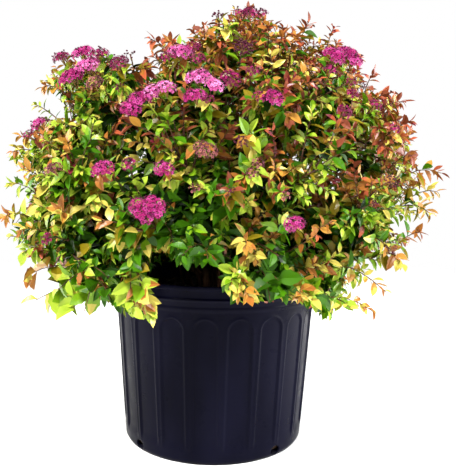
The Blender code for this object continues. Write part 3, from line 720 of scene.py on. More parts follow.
def ring_axes(paths):
    """Two unit vectors square to each path, steady because both start from the plane it bends in."""
    along = unit(np.gradient(paths, axis=1))
    chord = paths[:, -1] - paths[:, 0]
    bend = np.cross(paths[:, paths.shape[1] // 2] - paths[:, 0], chord)
    spare = unit(np.cross(chord, SLANT))
    plane = unit(bend + spare * 1e-3 * (chord ** 2).sum(axis=-1, keepdims=True))
    side = unit(np.cross(np.broadcast_to(plane[:, None], along.shape), along))
    return side, np.cross(along, side)


def tube_rings(paths, radii, sides):
    """Rings along paths: at angle t, the centre plus radius times cos t and sin t of two axes."""
    side, other = ring_axes(paths)
    turns = (np.arange(sides) * math.tau / sides)[:, None]
    rings = side[:, :, None] * np.cos(turns) + other[:, :, None] * np.sin(turns)
    return rings * radii[..., None, None] + paths[:, :, None]


def bark_skin(path, radii, seed):
    """A limb's rings with ridges along it and low bud scars, each a golden turn on from the last."""
    rings = tube_rings(path[None], radii[None], LIMB_SIDES)[0]
    out = unit(rings - path[:, None])
    run = np.concatenate([[0.0], np.cumsum(np.linalg.norm(np.diff(path, axis=0), axis=1))])
    turns = np.arange(LIMB_SIDES) * math.tau / LIMB_SIDES
    ridges = relief(out * 0.004 + path[:, None] * 0.16, RIDGE_SIZE, seed, octaves=2)
    scars = np.zeros(rings.shape[:2])
    for number, place in enumerate(np.arange(BUD_SPACING, run[-1] - SCAR_FREE_TIP, BUD_SPACING)):
        facing = 0.5 + 0.5 * np.cos(turns - number * GOLDEN_TURN)
        scars += np.exp(-((run - place) / SCAR_LENGTH) ** 2)[:, None] * (0.3 + 0.7 * facing ** 3)
    swell = 1.0 + RIDGE_RELIEF * ridges + SCAR_RELIEF * scars
    ends = smooth_step(np.minimum(run, run[-1] - run) / PLAIN_END)[:, None]
    swell = 1.0 + (swell - 1.0) * ends
    return path[:, None] + out * radii[:, None, None] * swell[..., None]


def bark_piece(name, path, radii, node, seed):
    """One limb with bark, in place of its plain node."""
    piece = new_piece(name, *closed_skins(bark_skin(path, radii, seed)[None]), [bark])
    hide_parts(node)


stems = []
for name, towards in zip(mass_names, mass_axes):
    if "skirt" not in name:
        path = stem_path(towards, 0.0 if "top" in name else STEM_RING_RADIUS)
        radii = limb_radii(len(path), STEM_FOOT_RADIUS, STEM_TIP_RADIUS, STEM_FLARE)
        stems.append((path, radii))
        bark_piece("bark_of_stem_%d" % len(stems), path, radii, "stem_%d" % len(stems), len(stems))
SKIRTS, SHOULDERS = MASS_RINGS[0][1], MASS_RINGS[1][1]
BOUGH_SEED = 20
stem_sides = unit(mass_axes[SKIRTS:SKIRTS + SHOULDERS] * (1, 1, 0))
carried = [0] * len(stems)
boughs = []
for number, towards in enumerate(mass_axes[:SKIRTS], start=1):
    nearest = int(np.argmax(stem_sides @ towards))
    height = BOUGH_HEIGHTS[carried[nearest] % len(BOUGH_HEIGHTS)]
    carried[nearest] += 1
    path = bough_path(*stems[nearest], height, towards)
    radii = limb_radii(len(path), BOUGH_ROOT_RADIUS, BOUGH_TIP_RADIUS)
    boughs.append((path, radii))
    bark_piece("bark_of_bough_%d" % number, path, radii, "bough_%d" % number, BOUGH_SEED + number)

# %% [markdown]
# ## What the photograph shows from the front
# The crown is not an even ball: tips stand out at its edge, its hem lifts over the pot's front, and the
# flower heads sit where they opened. Those are marked as pixels of the photograph. A marked place is
# carried along its ray to the crown's outside, so it lies on the plant and looks right from any side.

# %% Marks on the photograph
EDGE_MIDDLE = np.array([222.0, 200.0])
# The crown's edge, read from the lower right anticlockwise: pixels across and down of the ends of
# its tufts and of the dips between them. Between two marks it follows an arc round its middle
EDGE_MARKS = (
    (334, 310), (360, 270), (382, 260), (412, 214), (406, 199), (420, 181), (406, 158), (402, 116),
    (368, 84), (346, 45), (312, 46), (276, 30), (250, 6), (212, 25), (160, 52), (141, 74), (87, 47),
    (46, 72), (77, 118), (33, 120), (18, 138), (24, 183), (10, 218), (44, 260), (75, 284), (112, 304),
)
# Pixels inside the marks up to which leaves stand close, and from there out to the furthest tips
EDGE_INSET = 14.0
EDGE_FRINGE = 24.0
# The hem's edge over the pot, from left to right: pixels across and down
HEM_LINE = (
    (60, 318), (112, 306), (128, 318), (150, 326), (160, 326), (164, 284), (172, 268), (212, 262),
    (218, 282), (228, 303), (262, 303), (300, 302), (322, 316), (338, 318), (344, 304), (362, 316),
    (400, 318),
)
# The dark opening in the leaves over the pot's rim: its middle and half widths in pixels
OPENING = ((182.0, 279.0), (34.0, 14.0))
# Shoots that stand out at the edge and hem: pixels across and down, leaf size and spray. The dark spray is
# painted shade, for shoots low under the hem and in the opening over the pot
SPRIGS = (
    (6, 216, 1.0, "amber"), (9, 184, 0.8, "lime"), (12, 152, 0.8, "amber"), (24, 168, 0.9, "amber"),
    (42, 88, 0.7, "amber"), (19, 136, 0.6, "amber"), (34, 104, 0.6, "lime"), (150, 39, 0.7, "wine"),
    (172, 41, 0.7, "copper"), (205, 32, 0.8, "copper"), (216, 16, 0.6, "wine"), (228, 26, 0.9, "lime"),
    (268, 24, 0.7, "copper"), (286, 38, 0.8, "copper"), (297, 37, 0.8, "copper"), (308, 23, 0.8, "copper"),
    (334, 27, 0.6, "wine"), (374, 73, 0.7, "wine"), (391, 93, 0.8, "wine"), (404, 102, 0.8, "wine"),
    (411, 121, 0.8, "wine"), (402, 137, 0.8, "copper"), (412, 156, 0.9, "copper"), (441, 173, 1.1, "copper"),
    (438, 192, 0.9, "amber"), (430, 214, 0.9, "amber"), (420, 232, 0.8, "copper"), (402, 265, 0.9, "amber"),
    (386, 292, 0.8, "amber"), (374, 312, 0.8, "amber"), (352, 310, 0.8, "lime"), (330, 314, 1.5, "green"),
    (312, 300, 1.0, "lime"), (300, 297, 0.9, "amber"), (286, 296, 1.2, "dark"), (270, 300, 1.4, "dark"),
    (250, 300, 0.9, "amber"), (238, 296, 0.8, "amber"), (156, 316, 1.5, "lime"), (146, 306, 1.3, "amber"),
    (132, 308, 1.2, "lime"), (112, 306, 1.2, "green"), (84, 312, 1.6, "lime"), (70, 312, 1.6, "lime"),
    (58, 290, 1.3, "lime"), (36, 300, 1.7, "lime"), (30, 274, 1.7, "amber"), (24, 252, 1.1, "lime"),
    (10, 236, 0.7, "lime"), (20, 230, 0.8, "amber"), (182, 256, 1.1, "dark"), (208, 260, 1.1, "dark"),
    (188, 272, 0.6, "green"), (199, 278, 0.5, "green"), (228, 292, 0.8, "lime"),
)
# Flower heads: pixels across and down, half width in pixels, and kind
HEADS = (
    (139, 205, 10, "bright"), (152, 203, 11, "bright"), (146, 214, 9, "bright"), (158, 211, 6, "bright"),
    (69, 72, 14, "bright"), (81, 49, 11, "bright"), (86, 61, 13, "pale"), (60, 55, 8, "deep"),
    (97, 52, 8, "deep"), (117, 61, 9, "deep"), (94, 82, 7, "faded"), (130, 54, 4, "bud"),
    (117, 86, 4, "bud"),
    (129, 105, 9, "bright"), (138, 96, 9, "bright"), (150, 90, 8, "pale"), (165, 86, 9, "pale"),
    (179, 48, 10, "pale"), (193, 46, 7, "deep"), (168, 55, 7, "deep"), (198, 58, 6, "deep"),
    (198, 73, 12, "pale"), (214, 84, 8, "pale"), (196, 94, 9, "bright"), (208, 98, 5, "deep"),
    (231, 75, 9, "deep"), (204, 147, 11, "faded"), (239, 12, 6, "deep"), (249, 11, 8, "deep"),
    (263, 12, 5, "deep"), (218, 15, 4, "bud"), (244, 44, 9, "bud"), (253, 70, 6, "deep"),
    (259, 96, 6, "deep"), (273, 95, 9, "bright"), (336, 52, 10, "bright"), (347, 50, 10, "bright"),
    (356, 57, 7, "bright"), (331, 69, 5, "deep"), (351, 81, 5, "deep"), (345, 109, 8, "deep"),
    (376, 104, 6, "deep"), (297, 223, 8, "bright"), (392, 181, 6, "bud"), (374, 203, 5, "bud"),
    (391, 250, 4, "bud"), (37, 122, 7, "bright"), (28, 134, 5, "deep"), (51, 168, 8, "faded"),
    (99, 166, 10, "bright"), (128, 163, 7, "deep"), (163, 166, 8, "bright"), (46, 238, 6, "deep"),
    (286, 195, 5, "faded"), (242, 140, 7, "bud"), (258, 162, 6, "faded"), (253, 172, 5, "faded"),
    (194, 187, 5, "faded"), (230, 191, 4, "bud"), (395, 128, 5, "deep"), (353, 93, 5, "deep"),
)
HEAD_REACH = 0.004
SPRIG_REACH = 0.002
SPRIG_LOOSE = 4.0
# Shares of the way to the crown's middle at which a ray is tested
RAY_STEPS = np.linspace(0.5, 1.0, 160)
# How far back the hem's line over the pot holds
HEM_BACK = 0.10


def on_crown(marks, extra):
    """Where the rays of marks first meet the crown's outside, or pass it by the least."""
    rays = photo_rays(marks)
    closest = (CROWN_CENTRE - CAMERA_SPOT) @ rays.T
    places = CAMERA_SPOT + rays[:, None] * (closest[:, None] * RAY_STEPS)[..., None]
    offset = places - CROWN_CENTRE
    distance = np.linalg.norm(offset, axis=-1)
    inside = distance < crown_reach(offset / distance[..., None]) + extra
    first = np.where(inside.any(axis=1), inside.argmax(axis=1), len(RAY_STEPS) - 1)
    return places[np.arange(len(marks)), first]


def round_middle(pixels):
    """Angles of pixels from the right, anticlockwise, and their distances, both from the crown's middle."""
    offset = (pixels - EDGE_MIDDLE) * (1, -1)
    angle = np.degrees(np.arctan2(offset[..., 1], offset[..., 0]))
    return np.where(angle < -90, angle + 360, angle), np.linalg.norm(offset, axis=-1)


def edge_room(points, looseness):
    """Pixels from points to the crown's edge or hem in the photograph, less than 0 outside.

    The edge lies where leaves still stand close for a looseness of 0, and at the furthest tips for 1.
    Marked shoots, whose looseness is SPRIG_LOOSE, may also hang in the opening over the pot.
    """
    pixels = photo_pixels(points)
    angle, distance = round_middle(pixels)
    mark_angles, mark_distances = round_middle(np.array(EDGE_MARKS, float))
    edge = np.interp(angle, mark_angles, mark_distances) - EDGE_INSET + EDGE_FRINGE * looseness
    below = (angle < mark_angles[0]) | (angle > mark_angles[-1])
    room = np.where(below, PHOTO_WIDTH, edge - distance)
    hem_across, hem_down = np.array(HEM_LINE, float).T
    hem_room = np.interp(pixels[..., 0], hem_across, hem_down) - pixels[..., 1]
    window = np.linalg.norm((pixels - OPENING[0]) / OPENING[1], axis=-1)
    window_room = np.where(looseness < SPRIG_LOOSE, (window - 1.0) * OPENING[1][1], PHOTO_WIDTH)
    hem_room = np.minimum(hem_room, window_room)
    return np.minimum(room, np.where(points[..., 1] < HEM_BACK, hem_room, PHOTO_WIDTH))


sprig_marks = np.array([mark[:2] for mark in SPRIGS], float)
head_marks = np.array([mark[:2] for mark in HEADS], float)
print("marked on the photograph:", len(SPRIGS), "shoots and", len(HEADS), "flower heads")

# %% [markdown]
# ## Twigs
# Each mass has one stem on from its limb's tip, and shoots arch from it to the crown's outside, as in
# the model. Real shoots fork again, so finer twigs grow from the nearest piece of shoot to tips spread
# over the crown, and a sparser set fills it inside. All are quadratic curves, worked out in one go.

# %% Shoots, by the model's rule
SHOOT_COUNT = 96
SHOOT_SHORT = 0.020
SHOOT_GATHER = 0.06
SHOOT_ARCH = 0.014
MASS_STEM_REACH = 0.80
POT_ROOM = 0.003
TIP_CLEARANCE = 0.018
TIP_ABOVE_HEM = 0.010
BOX_ROOM = 0.006
SHOOT_EDGE_ROOM = 8
SHOOT_DRAWS = 15
DRAW_STEP = 0.02
# How far along its mass's stem a shoot forks off: less for each radian that it leans, within limits
FORK_START = 0.72
FORK_FALL = 0.75
FORK_LIMITS = (0.12, 0.75)
FORK_SCATTER = 0.06


def clear_tips(tips):
    """Tips pushed out of the pot, up to the hem and back to the model's box."""
    tips = tips.copy()
    tips[:, 2] = np.maximum(tips[:, 2], HEM_HEIGHT + TIP_ABOVE_HEM)
    flat = np.hypot(tips[:, 0], tips[:, 1])
    least = POT_RIM_RADIUS + TIP_CLEARANCE
    low = (tips[:, 2] < POT_HEIGHT + TIP_CLEARANCE) & (flat < least)
    tips[low, :2] *= (least / flat[low])[:, None]
    return np.clip(tips, CAD_LOW - BOX_ROOM, CAD_HIGH + BOX_ROOM)


def hits_pot(points):
    """Whether any point of each row lies in the pot, with a little room round it."""
    flat = np.hypot(points[..., 0], points[..., 1])
    return ((points[..., 2] < POT_HEIGHT + POT_ROOM) & (flat < POT_RIM_RADIUS + POT_ROOM)).any(axis=1)


def drawn_in(tips, looseness, room, steps):
    """Tips moved towards the crown's middle, a fiftieth at a time, until they have that much room."""
    tips = tips.copy()
    for _ in range(steps):
        out = edge_room(tips, looseness) < room
        tips[out] += (CROWN_CENTRE - tips[out]) * DRAW_STEP
    return tips


mass_roots = CROWN_CENTRE + mass_axes * (BARE_RADIUS - 0.001)
mass_lengths = BARE_RADIUS + (crown_reach(mass_axes) - BARE_RADIUS) * MASS_STEM_REACH
mass_tips = CROWN_CENTRE + mass_axes * mass_lengths[:, None]
aims = spiral(SHOOT_COUNT)
aims = aims[aims @ direction(*STEM_WINDOW[:2]) < math.cos(math.radians(STEM_WINDOW[2]))]
owners = np.argmax(aims @ mass_axes.T, axis=1)
aims = unit(aims + mass_axes[owners] * SHOOT_GATHER + rng.normal(0.0, 0.02, aims.shape))
shoot_tips = clear_tips(CROWN_CENTRE + aims * (crown_reach(aims) - SHOOT_SHORT)[:, None])
shoot_tips = drawn_in(shoot_tips, 0.0, SHOOT_EDGE_ROOM, SHOOT_DRAWS)
spread = np.arccos(np.clip((aims * mass_axes[owners]).sum(axis=1), -1, 1))
fork = np.clip(FORK_START - FORK_FALL * spread, *FORK_LIMITS)
fork = fork + rng.uniform(-FORK_SCATTER, FORK_SCATTER, len(aims))
shoot_roots = mass_roots[owners] + (mass_tips - mass_roots)[owners] * fork[:, None]
outwards = unit(shoot_roots + shoot_tips - 2 * CROWN_CENTRE)
shoot_middles = (shoot_roots + shoot_tips) / 2 + (UP + outwards * 0.4) * SHOOT_ARCH
shoot_curves = np.stack([shoot_roots, shoot_middles, shoot_tips])
stem_curves = np.stack([mass_roots, (mass_roots + mass_tips) / 2, mass_tips])
print("shoots:", len(shoot_tips))

# %% Tips of the flower heads, on every side
BACK_HEADS = 150
BACK_HEAD_KINDS = ("bright", "deep", "pale", "faded", "deep", "bud", "bright", "deep", "faded")
BACK_HEAD_RADII = (0.006, 0.012)
BACK_HEAD_DEPTH = 0.02
BACK_HEAD_RISE = 0.88

head_tips = on_crown(head_marks, HEAD_REACH)
head_depths = np.linalg.norm(head_tips - CAMERA_SPOT, axis=1)
marked_radii = np.array([mark[2] for mark in HEADS]) * head_depths / FOCAL_PIXELS
# Where the photograph shows nothing of the crown, heads stand at about the same spacing
back_aims = unit(spiral(BACK_HEADS) + rng.normal(0.0, 0.05, (BACK_HEADS, 3)))
back_tips = CROWN_CENTRE + back_aims * (crown_reach(back_aims) + HEAD_REACH)[:, None]
unseen = (back_tips[:, 1] > BACK_HEAD_DEPTH) | (back_aims[:, 2] > BACK_HEAD_RISE)
high = back_aims[:, 2] > rng.uniform(-0.3, 0.9, BACK_HEADS)
back_tips = back_tips[unseen & high & (edge_room(back_tips, 0.5) > 4)]
back_kinds = [BACK_HEAD_KINDS[number % len(BACK_HEAD_KINDS)] for number in range(len(back_tips))]
head_places = clear_tips(np.concatenate([head_tips, back_tips]))
head_kinds = [mark[3] for mark in HEADS] + back_kinds
head_radii = np.concatenate([marked_radii, rng.uniform(*BACK_HEAD_RADII, len(back_tips))])
print("flower heads:", len(head_places))

# %% Tips of the finer twigs
# For each set: places tried, their least, usual and most depth under the crown's outside, and the
# distance that tips keep from each other where leaves are of the usual size
OUTER_TWIGS = (9000, (0.000, 0.010, 0.044), 0.0152)
INNER_TWIGS = (3000, (0.034, 0.052, 0.130), 0.0215)
CORE_TWIGS = (700, (0.100, 0.190, 0.240), 0.052)
HOLLOWS = 0.006
FRONT_HOLLOW = (0.0, -1.0, -0.12)
FRONT_HOLLOW_WIDTH = 42.0
FRONT_HOLLOW_DEPTH = 0.034
FRONT_THINNING = 0.25
HOLLOW_SIZE = 0.17
TWIG_EDGE_ROOM = 4
TWIG_DRAWS = 4
FILL_ROOM = (5, 16)
FILL_STEPS = 16
HEAD_ROOM = 0.008
TUFT_SIZE = 0.055


def vigour_at(places):
    """Leaf size at each place: larger low down and on the left, with broad random patches."""
    offset = (places - CROWN_CENTRE) / CROWN_REACH
    patches = 0.10 * relief(places, 0.15, 19, octaves=2)
    return np.clip(0.96 - 0.32 * offset[:, 2] - 0.12 * offset[:, 0] + patches, 0.58, 1.30)


def tuft_at(places):
    """How far shoots stand out at each place, 0 to 1, so that the crown's edge has tufts and gaps."""
    tufts = 0.32 + 1.2 * relief(places, TUFT_SIZE, 23, octaves=2) + rng.normal(0.0, 0.12, len(places))
    return np.clip(tufts, 0.0, 1.0)


def spaced(places, gaps):
    """Which places to keep, in random order, so that each is at least its gap from those kept before."""
    kept = np.zeros(len(places), bool)
    for number in rng.permutation(len(places)):
        kept[number] = (np.linalg.norm(places[kept] - places[number], axis=1) > gaps[number]).all()
    return kept


def twig_set(count, depths, spacing):
    """Tips at random on every side, at depths that also rise and fall in broad clumps and hollows.

    They keep a distance that grows with the leaves' size there, so the crown has no bare patch. Low
    in front they stand further apart and some lie much deeper, where the photograph is darkest.
    """
    ways = unit(rng.normal(size=(count, 3)))
    places = CROWN_CENTRE + ways * crown_reach(ways)[:, None]
    off = np.degrees(np.arccos(np.clip(ways @ unit(FRONT_HOLLOW), -1.0, 1.0)))
    dark = np.clip(1.5 * (1.0 - off / FRONT_HOLLOW_WIDTH), 0.0, 1.0)
    kept = spaced(places, spacing * vigour_at(places) * (1.0 + FRONT_THINNING * dark))
    ways, dark = ways[kept], dark[kept] * rng.uniform(size=kept.sum())
    clumps = HOLLOWS * relief(ways * CROWN_REACH, HOLLOW_SIZE, 7, octaves=2)
    depth = rng.triangular(*depths, len(ways)) + FRONT_HOLLOW_DEPTH * dark - clumps
    return CROWN_CENTRE + ways * (crown_reach(ways) - depth)[:, None]


outer_tips = clear_tips(twig_set(*OUTER_TWIGS))
outer_loose = tuft_at(outer_tips)
outer_tips = drawn_in(outer_tips, outer_loose, TWIG_EDGE_ROOM, TWIG_DRAWS)
# Those still too far out fill the crown further in, so that it has no hole from above or from the side
far_out = edge_room(outer_tips, outer_loose) < TWIG_EDGE_ROOM
outer_loose[far_out] = 0.0
outer_tips[far_out] = drawn_in(outer_tips[far_out], 0.0, rng.uniform(*FILL_ROOM, far_out.sum()), FILL_STEPS)
apart = np.linalg.norm(outer_tips[:, None] - head_places[None], axis=-1) - head_radii
kept = (edge_room(outer_tips, outer_loose) > TWIG_EDGE_ROOM) & (apart.min(axis=1) > HEAD_ROOM)
outer_tips, outer_loose = outer_tips[kept], outer_loose[kept]
inner_tips = clear_tips(twig_set(*INNER_TWIGS))
inner_tips = drawn_in(inner_tips, 0.0, FILL_ROOM[1], FILL_STEPS)
inner_tips = inner_tips[edge_room(inner_tips, 0.0) > TWIG_EDGE_ROOM]
core_tips = twig_set(*CORE_TWIGS)
sprig_tips = clear_tips(on_crown(sprig_marks, SPRIG_REACH))
print("outer twigs:", len(outer_tips), " inner:", len(inner_tips), " core:", len(core_tips))

# %% Thin canes through the bare middle
CANE_COUNT = 20
CANE_RING = (0.010, 0.045)
CANE_RADII = (0.0017, 0.0009)
CANE_SAMPLES = np.linspace(0.0, 1.0, 11)

cane_aims = spiral(CANE_COUNT * 2)[::2]
cane_tips = CROWN_CENTRE + cane_aims * (BARE_RADIUS + 0.02)
cane_outs = unit(cane_tips * (1, 1, 0) + 1e-9)
cane_feet = cane_outs * rng.uniform(*CANE_RING, (CANE_COUNT, 1)) + UP * (mound_height(0.03) - 0.004)
cane_bends = cane_feet * (1.5, 1.5, 1.0) + UP * 0.075
cane_bends += rng.normal(0.0, 0.006, cane_bends.shape)
cane_curves = np.stack([cane_feet, cane_bends, cane_tips])
cane_curves = cane_curves[:, ~hits_pot(bezier(cane_curves, CANE_SAMPLES)[:, 3:])]
cane_paths = bezier(cane_curves, CANE_SAMPLES)
print("canes:", len(cane_paths))

# %% Grow each twig from the nearest wood
TWIG_LENGTHS = (0.050, 0.080)
SPRIG_LENGTHS = (0.030, 0.050)
TWIG_LONGEST = 0.12
NEARNESS = 0.6
TWIG_RISE = 0.35
TWIG_LIFT = 0.16
SPRIG_LIFT = 0.30
TWIG_LEAN = 0.14
TWIG_STEPS = np.linspace(0.0, 1.0, 5)
TWIG_HEM_ROOM = -6
TWIG_LOOSE = 2.0
EDGE_BAND = 9.0
EDGE_GAPS = 3
WOOD_SHARES = np.linspace(0.15, 1.0, 13)
FORK_SHARES = np.linspace(0.1, 0.7, 5)


def curve_ways(curves, shares):
    """Unit directions of curves at shares of their length."""
    return unit(bezier(curves, shares + 0.01) - bezier(curves, shares - 0.01))


def wood_of(curves, shares):
    """Places on curves where twigs may fork, and the directions there."""
    steps = np.broadcast_to(shares, (curves.shape[1], len(shares)))
    return bezier(curves, steps).reshape(-1, 3), curve_ways(curves, steps).reshape(-1, 3)


def grow(tips, lengths, lift, wood, ways):
    """Curves to tips from the wood nearest to a point one length inwards and a little down.

    Wood near the tip itself is preferred too, so that no twig crosses the crown. The middle control
    lies 0.45 along the chord, and rises by the lift and leans with the wood by shares of the chord.
    """
    inward = unit(tips - CROWN_CENTRE) + UP * TWIG_RISE
    wanted = tips - unit(inward) * rng.uniform(*lengths, (len(tips), 1))
    far = np.linalg.norm(wanted[:, None] - wood[None], axis=-1)
    nearest = (far + NEARNESS * np.linalg.norm(tips[:, None] - wood[None], axis=-1)).argmin(axis=1)
    chords = tips - wood[nearest]
    spans = np.linalg.norm(chords, axis=1, keepdims=True)
    bend = UP * lift + ways[nearest] * TWIG_LEAN + rng.normal(0.0, 0.06, tips.shape)
    return np.stack([wood[nearest], wood[nearest] + chords * 0.45 + bend * spans, tips])


def can_grow(curves, looseness):
    """Whether each twig is short enough, clears the pot and keeps its outer half in the outline."""
    paths = bezier(curves, TWIG_STEPS)
    spans = np.linalg.norm(curves[2] - curves[0], axis=1)
    room = edge_room(paths[:, 2:], looseness)
    return ~hits_pot(paths) & (spans < TWIG_LONGEST) & (room > TWIG_HEM_ROOM).all(axis=1)


def wood_groups(*groups):
    """The forking places of several sets of curves, each with its shares."""
    pairs = [wood_of(curves, shares) for curves, shares in groups]
    return [np.concatenate(part) for part in zip(*pairs)]


first_wood = wood_groups((shoot_curves, WOOD_SHARES), (stem_curves, WOOD_SHARES))
outer_curves = grow(outer_tips, TWIG_LENGTHS, TWIG_LIFT, *first_wood)
# Every third twig along the outline is missing, so its edge has gaps as in the photograph
near_edge = edge_room(outer_tips, 0.0) < EDGE_BAND
missing = near_edge & (np.arange(len(outer_tips)) % EDGE_GAPS == 0)
able = can_grow(outer_curves, TWIG_LOOSE) & ~missing
outer_curves, outer_loose = outer_curves[:, able], outer_loose[able]
inner_curves = grow(inner_tips, TWIG_LENGTHS, TWIG_LIFT, *first_wood)
core_wood = wood_groups((cane_curves, WOOD_SHARES), (stem_curves, FORK_SHARES))
core_curves = grow(core_tips, SPRIG_LENGTHS, TWIG_LIFT, *core_wood)
inner_curves = np.concatenate([inner_curves, core_curves], axis=1)
forks = wood_of(outer_curves, FORK_SHARES)
more_wood = [np.concatenate(pair) for pair in zip(first_wood, forks)]
sprig_curves = grow(sprig_tips, SPRIG_LENGTHS, SPRIG_LIFT, *more_wood)
head_curves = grow(head_places, SPRIG_LENGTHS, TWIG_LIFT, *more_wood)
curve_sets = [outer_curves, inner_curves, sprig_curves, head_curves]
twig_curves = np.concatenate(curve_sets, axis=1)
role_sizes = [curves.shape[1] for curves in curve_sets]
OUTER, INNER, SPRIG, HEAD = range(len(role_sizes))
roles = np.repeat(np.arange(len(role_sizes)), role_sizes)
twig_paths = bezier(twig_curves, TWIG_STEPS)
grown = can_grow(twig_curves, np.where(roles == SPRIG, SPRIG_LOOSE, TWIG_LOOSE)[:, None])
print("twigs that grow:", np.bincount(roles[grown]), "of", role_sizes)

# %% Skins of the twigs
# Radii at the root and at the tip: of twigs by their role, of shoots and of the masses' stems
TWIG_RADII = ((0.0008, 0.00045), (0.0010, 0.0006), (0.0008, 0.0005), (0.0008, 0.0006))
SHOOT_RADII = (0.0015, 0.0008)
MASS_STEM_RADII = (0.0026, 0.0015)


def wood_skin(paths, radii, sides):
    """Points and faces of bare tubes whose radius goes evenly from the first to the second."""
    tapering = np.repeat(np.linspace(*radii, paths.shape[1])[None], len(paths), axis=0)
    return closed_skins(tube_rings(paths, tapering, sides))


def joined(groups):
    """One set of points and faces from several, each numbered on from those before it."""
    starts = np.cumsum([0] + [len(points) for points, _ in groups[:-1]])
    faces = [face + start for (_, group), start in zip(groups, starts) for face in group]
    return np.concatenate([points for points, _ in groups]), faces


twig_bark = new_material("twig_bark", paint(74, 44, 32), 0.6, 0.2)
finish_surface(
    twig_bark,
    colour=ramp(twig_bark, noise(twig_bark, 60.0), paint(50, 28, 22), paint(100, 66, 42)),
)
skins = [wood_skin(bezier(stem_curves, CANE_SAMPLES), MASS_STEM_RADII, 8)]
skins.append(wood_skin(bezier(shoot_curves, CANE_SAMPLES), SHOOT_RADII, 6))
skins.append(wood_skin(cane_paths, CANE_RADII, 6))
for role, radii in enumerate(TWIG_RADII):
    skins.append(wood_skin(twig_paths[grown & (roles == role)], radii, 3))
twigs = new_piece("twigs", *joined(skins), [twig_bark])

# %% [markdown]
# ## Leaves
# A leaf is 12 to 30 mm long, pointed, lightly toothed and folded along its midrib. A particle system
# would copy one leaf many times, but each copy would be the same and an export would lose them. Here
# one grid of length by width is bent, folded and placed for every leaf at once, in arrays.

# %% Tints
LEAF_COLOURS = {
    "leaf_shade": paint(12, 29, 2),
    "leaf_deep": paint(35, 69, 4),
    "leaf_green": paint(54, 98, 6),
    "leaf_fresh": paint(96, 132, 16),
    "leaf_lime": paint(138, 160, 46),
    "leaf_gold": paint(173, 160, 70),
    "leaf_olive": paint(112, 98, 14),
    "leaf_amber": paint(162, 116, 46),
    "leaf_copper": paint(140, 88, 36),
    "leaf_rust": paint(116, 58, 38),
    "leaf_flame": paint(154, 76, 46),
    "leaf_wine": paint(106, 30, 42),
}
# For each spray, the tints of its leaves from the oldest at its root to the youngest at its tip. Its
# darkest tints, shade and deep, are partly old leaves and partly painted shade inside and low in the crown
PALETTES = {
    "green": "shade deep shade / shade deep deep / deep green shade / green deep deep / green fresh lime",
    "lime": "shade deep green / green fresh olive / fresh lime green / lime gold fresh / lime gold lime",
    "amber": "deep olive olive / olive green fresh / lime gold olive / gold amber copper"
    " / copper amber gold",
    "copper": "olive deep olive / olive rust fresh / copper olive green / copper amber rust"
    " / copper flame rust",
    "wine": "olive rust deep / olive rust copper / rust copper olive / rust copper flame / wine rust flame",
    # The dark spray is painted shade: its darkest tints stand for the shade under the hem and in the opening
    # over the pot
    "dark": "shade deep shade / shade deep shade / deep shade deep / deep green deep / green deep green",
}
SPRAYS = tuple(PALETTES)
AGES = 5
LEAF_ROUGHNESS = 0.32
LEAF_GLOSS = 0.20
# Old leaves are duller than young ones
OLD_LEAF_GLOSS = {"leaf_shade": 0.07, "leaf_deep": 0.09, "leaf_green": 0.13}
leaf_materials = [
    new_material(name, colour, LEAF_ROUGHNESS, OLD_LEAF_GLOSS.get(name, LEAF_GLOSS))
    for name, colour in LEAF_COLOURS.items()
]
tint_numbers = {name.removeprefix("leaf_"): number for number, name in enumerate(LEAF_COLOURS)}
palette = " / ".join(PALETTES.values()).replace("/", " ").split()
palette = np.array([tint_numbers[tint] for tint in palette]).reshape(len(SPRAYS), AGES, 3)
print("leaf tints:", len(leaf_materials))

# %% One leaf, many times
# For each shape: rows along the leaf, places across it as shares of its half width, and its teeth
INNER_LEAF = (2, (1.0, 0.0, -1.0), 0.0)
SMALL_LEAF = (4, (1.0, 0.0, -1.0), 0.0)
LARGE_LEAF = (8, (1.0, 0.62, 0.0, -0.62, -1.0), 0.07)
STALK_SHARE = 0.10
BASE, TIP, RIM = range(3)


def leaf_grid(rows, sides, teeth):
    """A leaf's points: shares of its length, half widths for a width of 1, and places across.

    With b the share of the blade, the half width goes as b to the 0.6 times (1 - b), and is a half
    at the widest. Every other row is a little wider at the margin, which gives it its teeth.
    """
    along = np.linspace(0.0, 1.0, rows + 2)[1:-1]
    blade = np.clip((along - STALK_SHARE) / (1 - STALK_SHARE), 0.004, 1.0)
    half = blade ** 0.6 * (1 - blade)
    half = 0.5 * half / half.max() * (1.0 + teeth * (-1.0) ** np.arange(rows))
    columns = len(sides)
    run = np.concatenate([[0.0], np.repeat(along, columns), [1.0]])
    side = np.concatenate([[0.0], np.tile(sides, rows), [0.0]])
    return run, np.concatenate([[0.0], np.repeat(half, columns), [0.0]]), side


def leaf_faces(rows, sides, teeth):
    """A leaf's faces and their zones: quads between neighbouring points, then a fan at each end.

    The rim's zone is the outer faces of a leaf with more than two faces across.
    """
    strips = len(sides) - 1
    row, strip = (part.ravel() for part in np.mgrid[0:rows - 1, 0:strips])
    first = row * len(sides) + strip + 1
    quads = np.stack([first, first + 1, first + strips + 2, first + strips + 1], axis=-1)
    zones = np.where(row + (strip == 0) >= rows // 2, TIP, BASE)
    zones = np.where((strips > 2) & ((strip == 0) | (strip == strips - 1)), RIM, zones)
    across = np.arange(strips)
    last = rows * len(sides) + 1
    root = np.stack([np.zeros(strips, int), across + 2, across + 1], axis=-1)
    tip = np.stack([last - strips - 1 + across, last - strips + across, np.full(strips, last)], axis=-1)
    return [quads, np.concatenate([root, tip])], [zones, np.repeat([BASE, TIP], strips)]


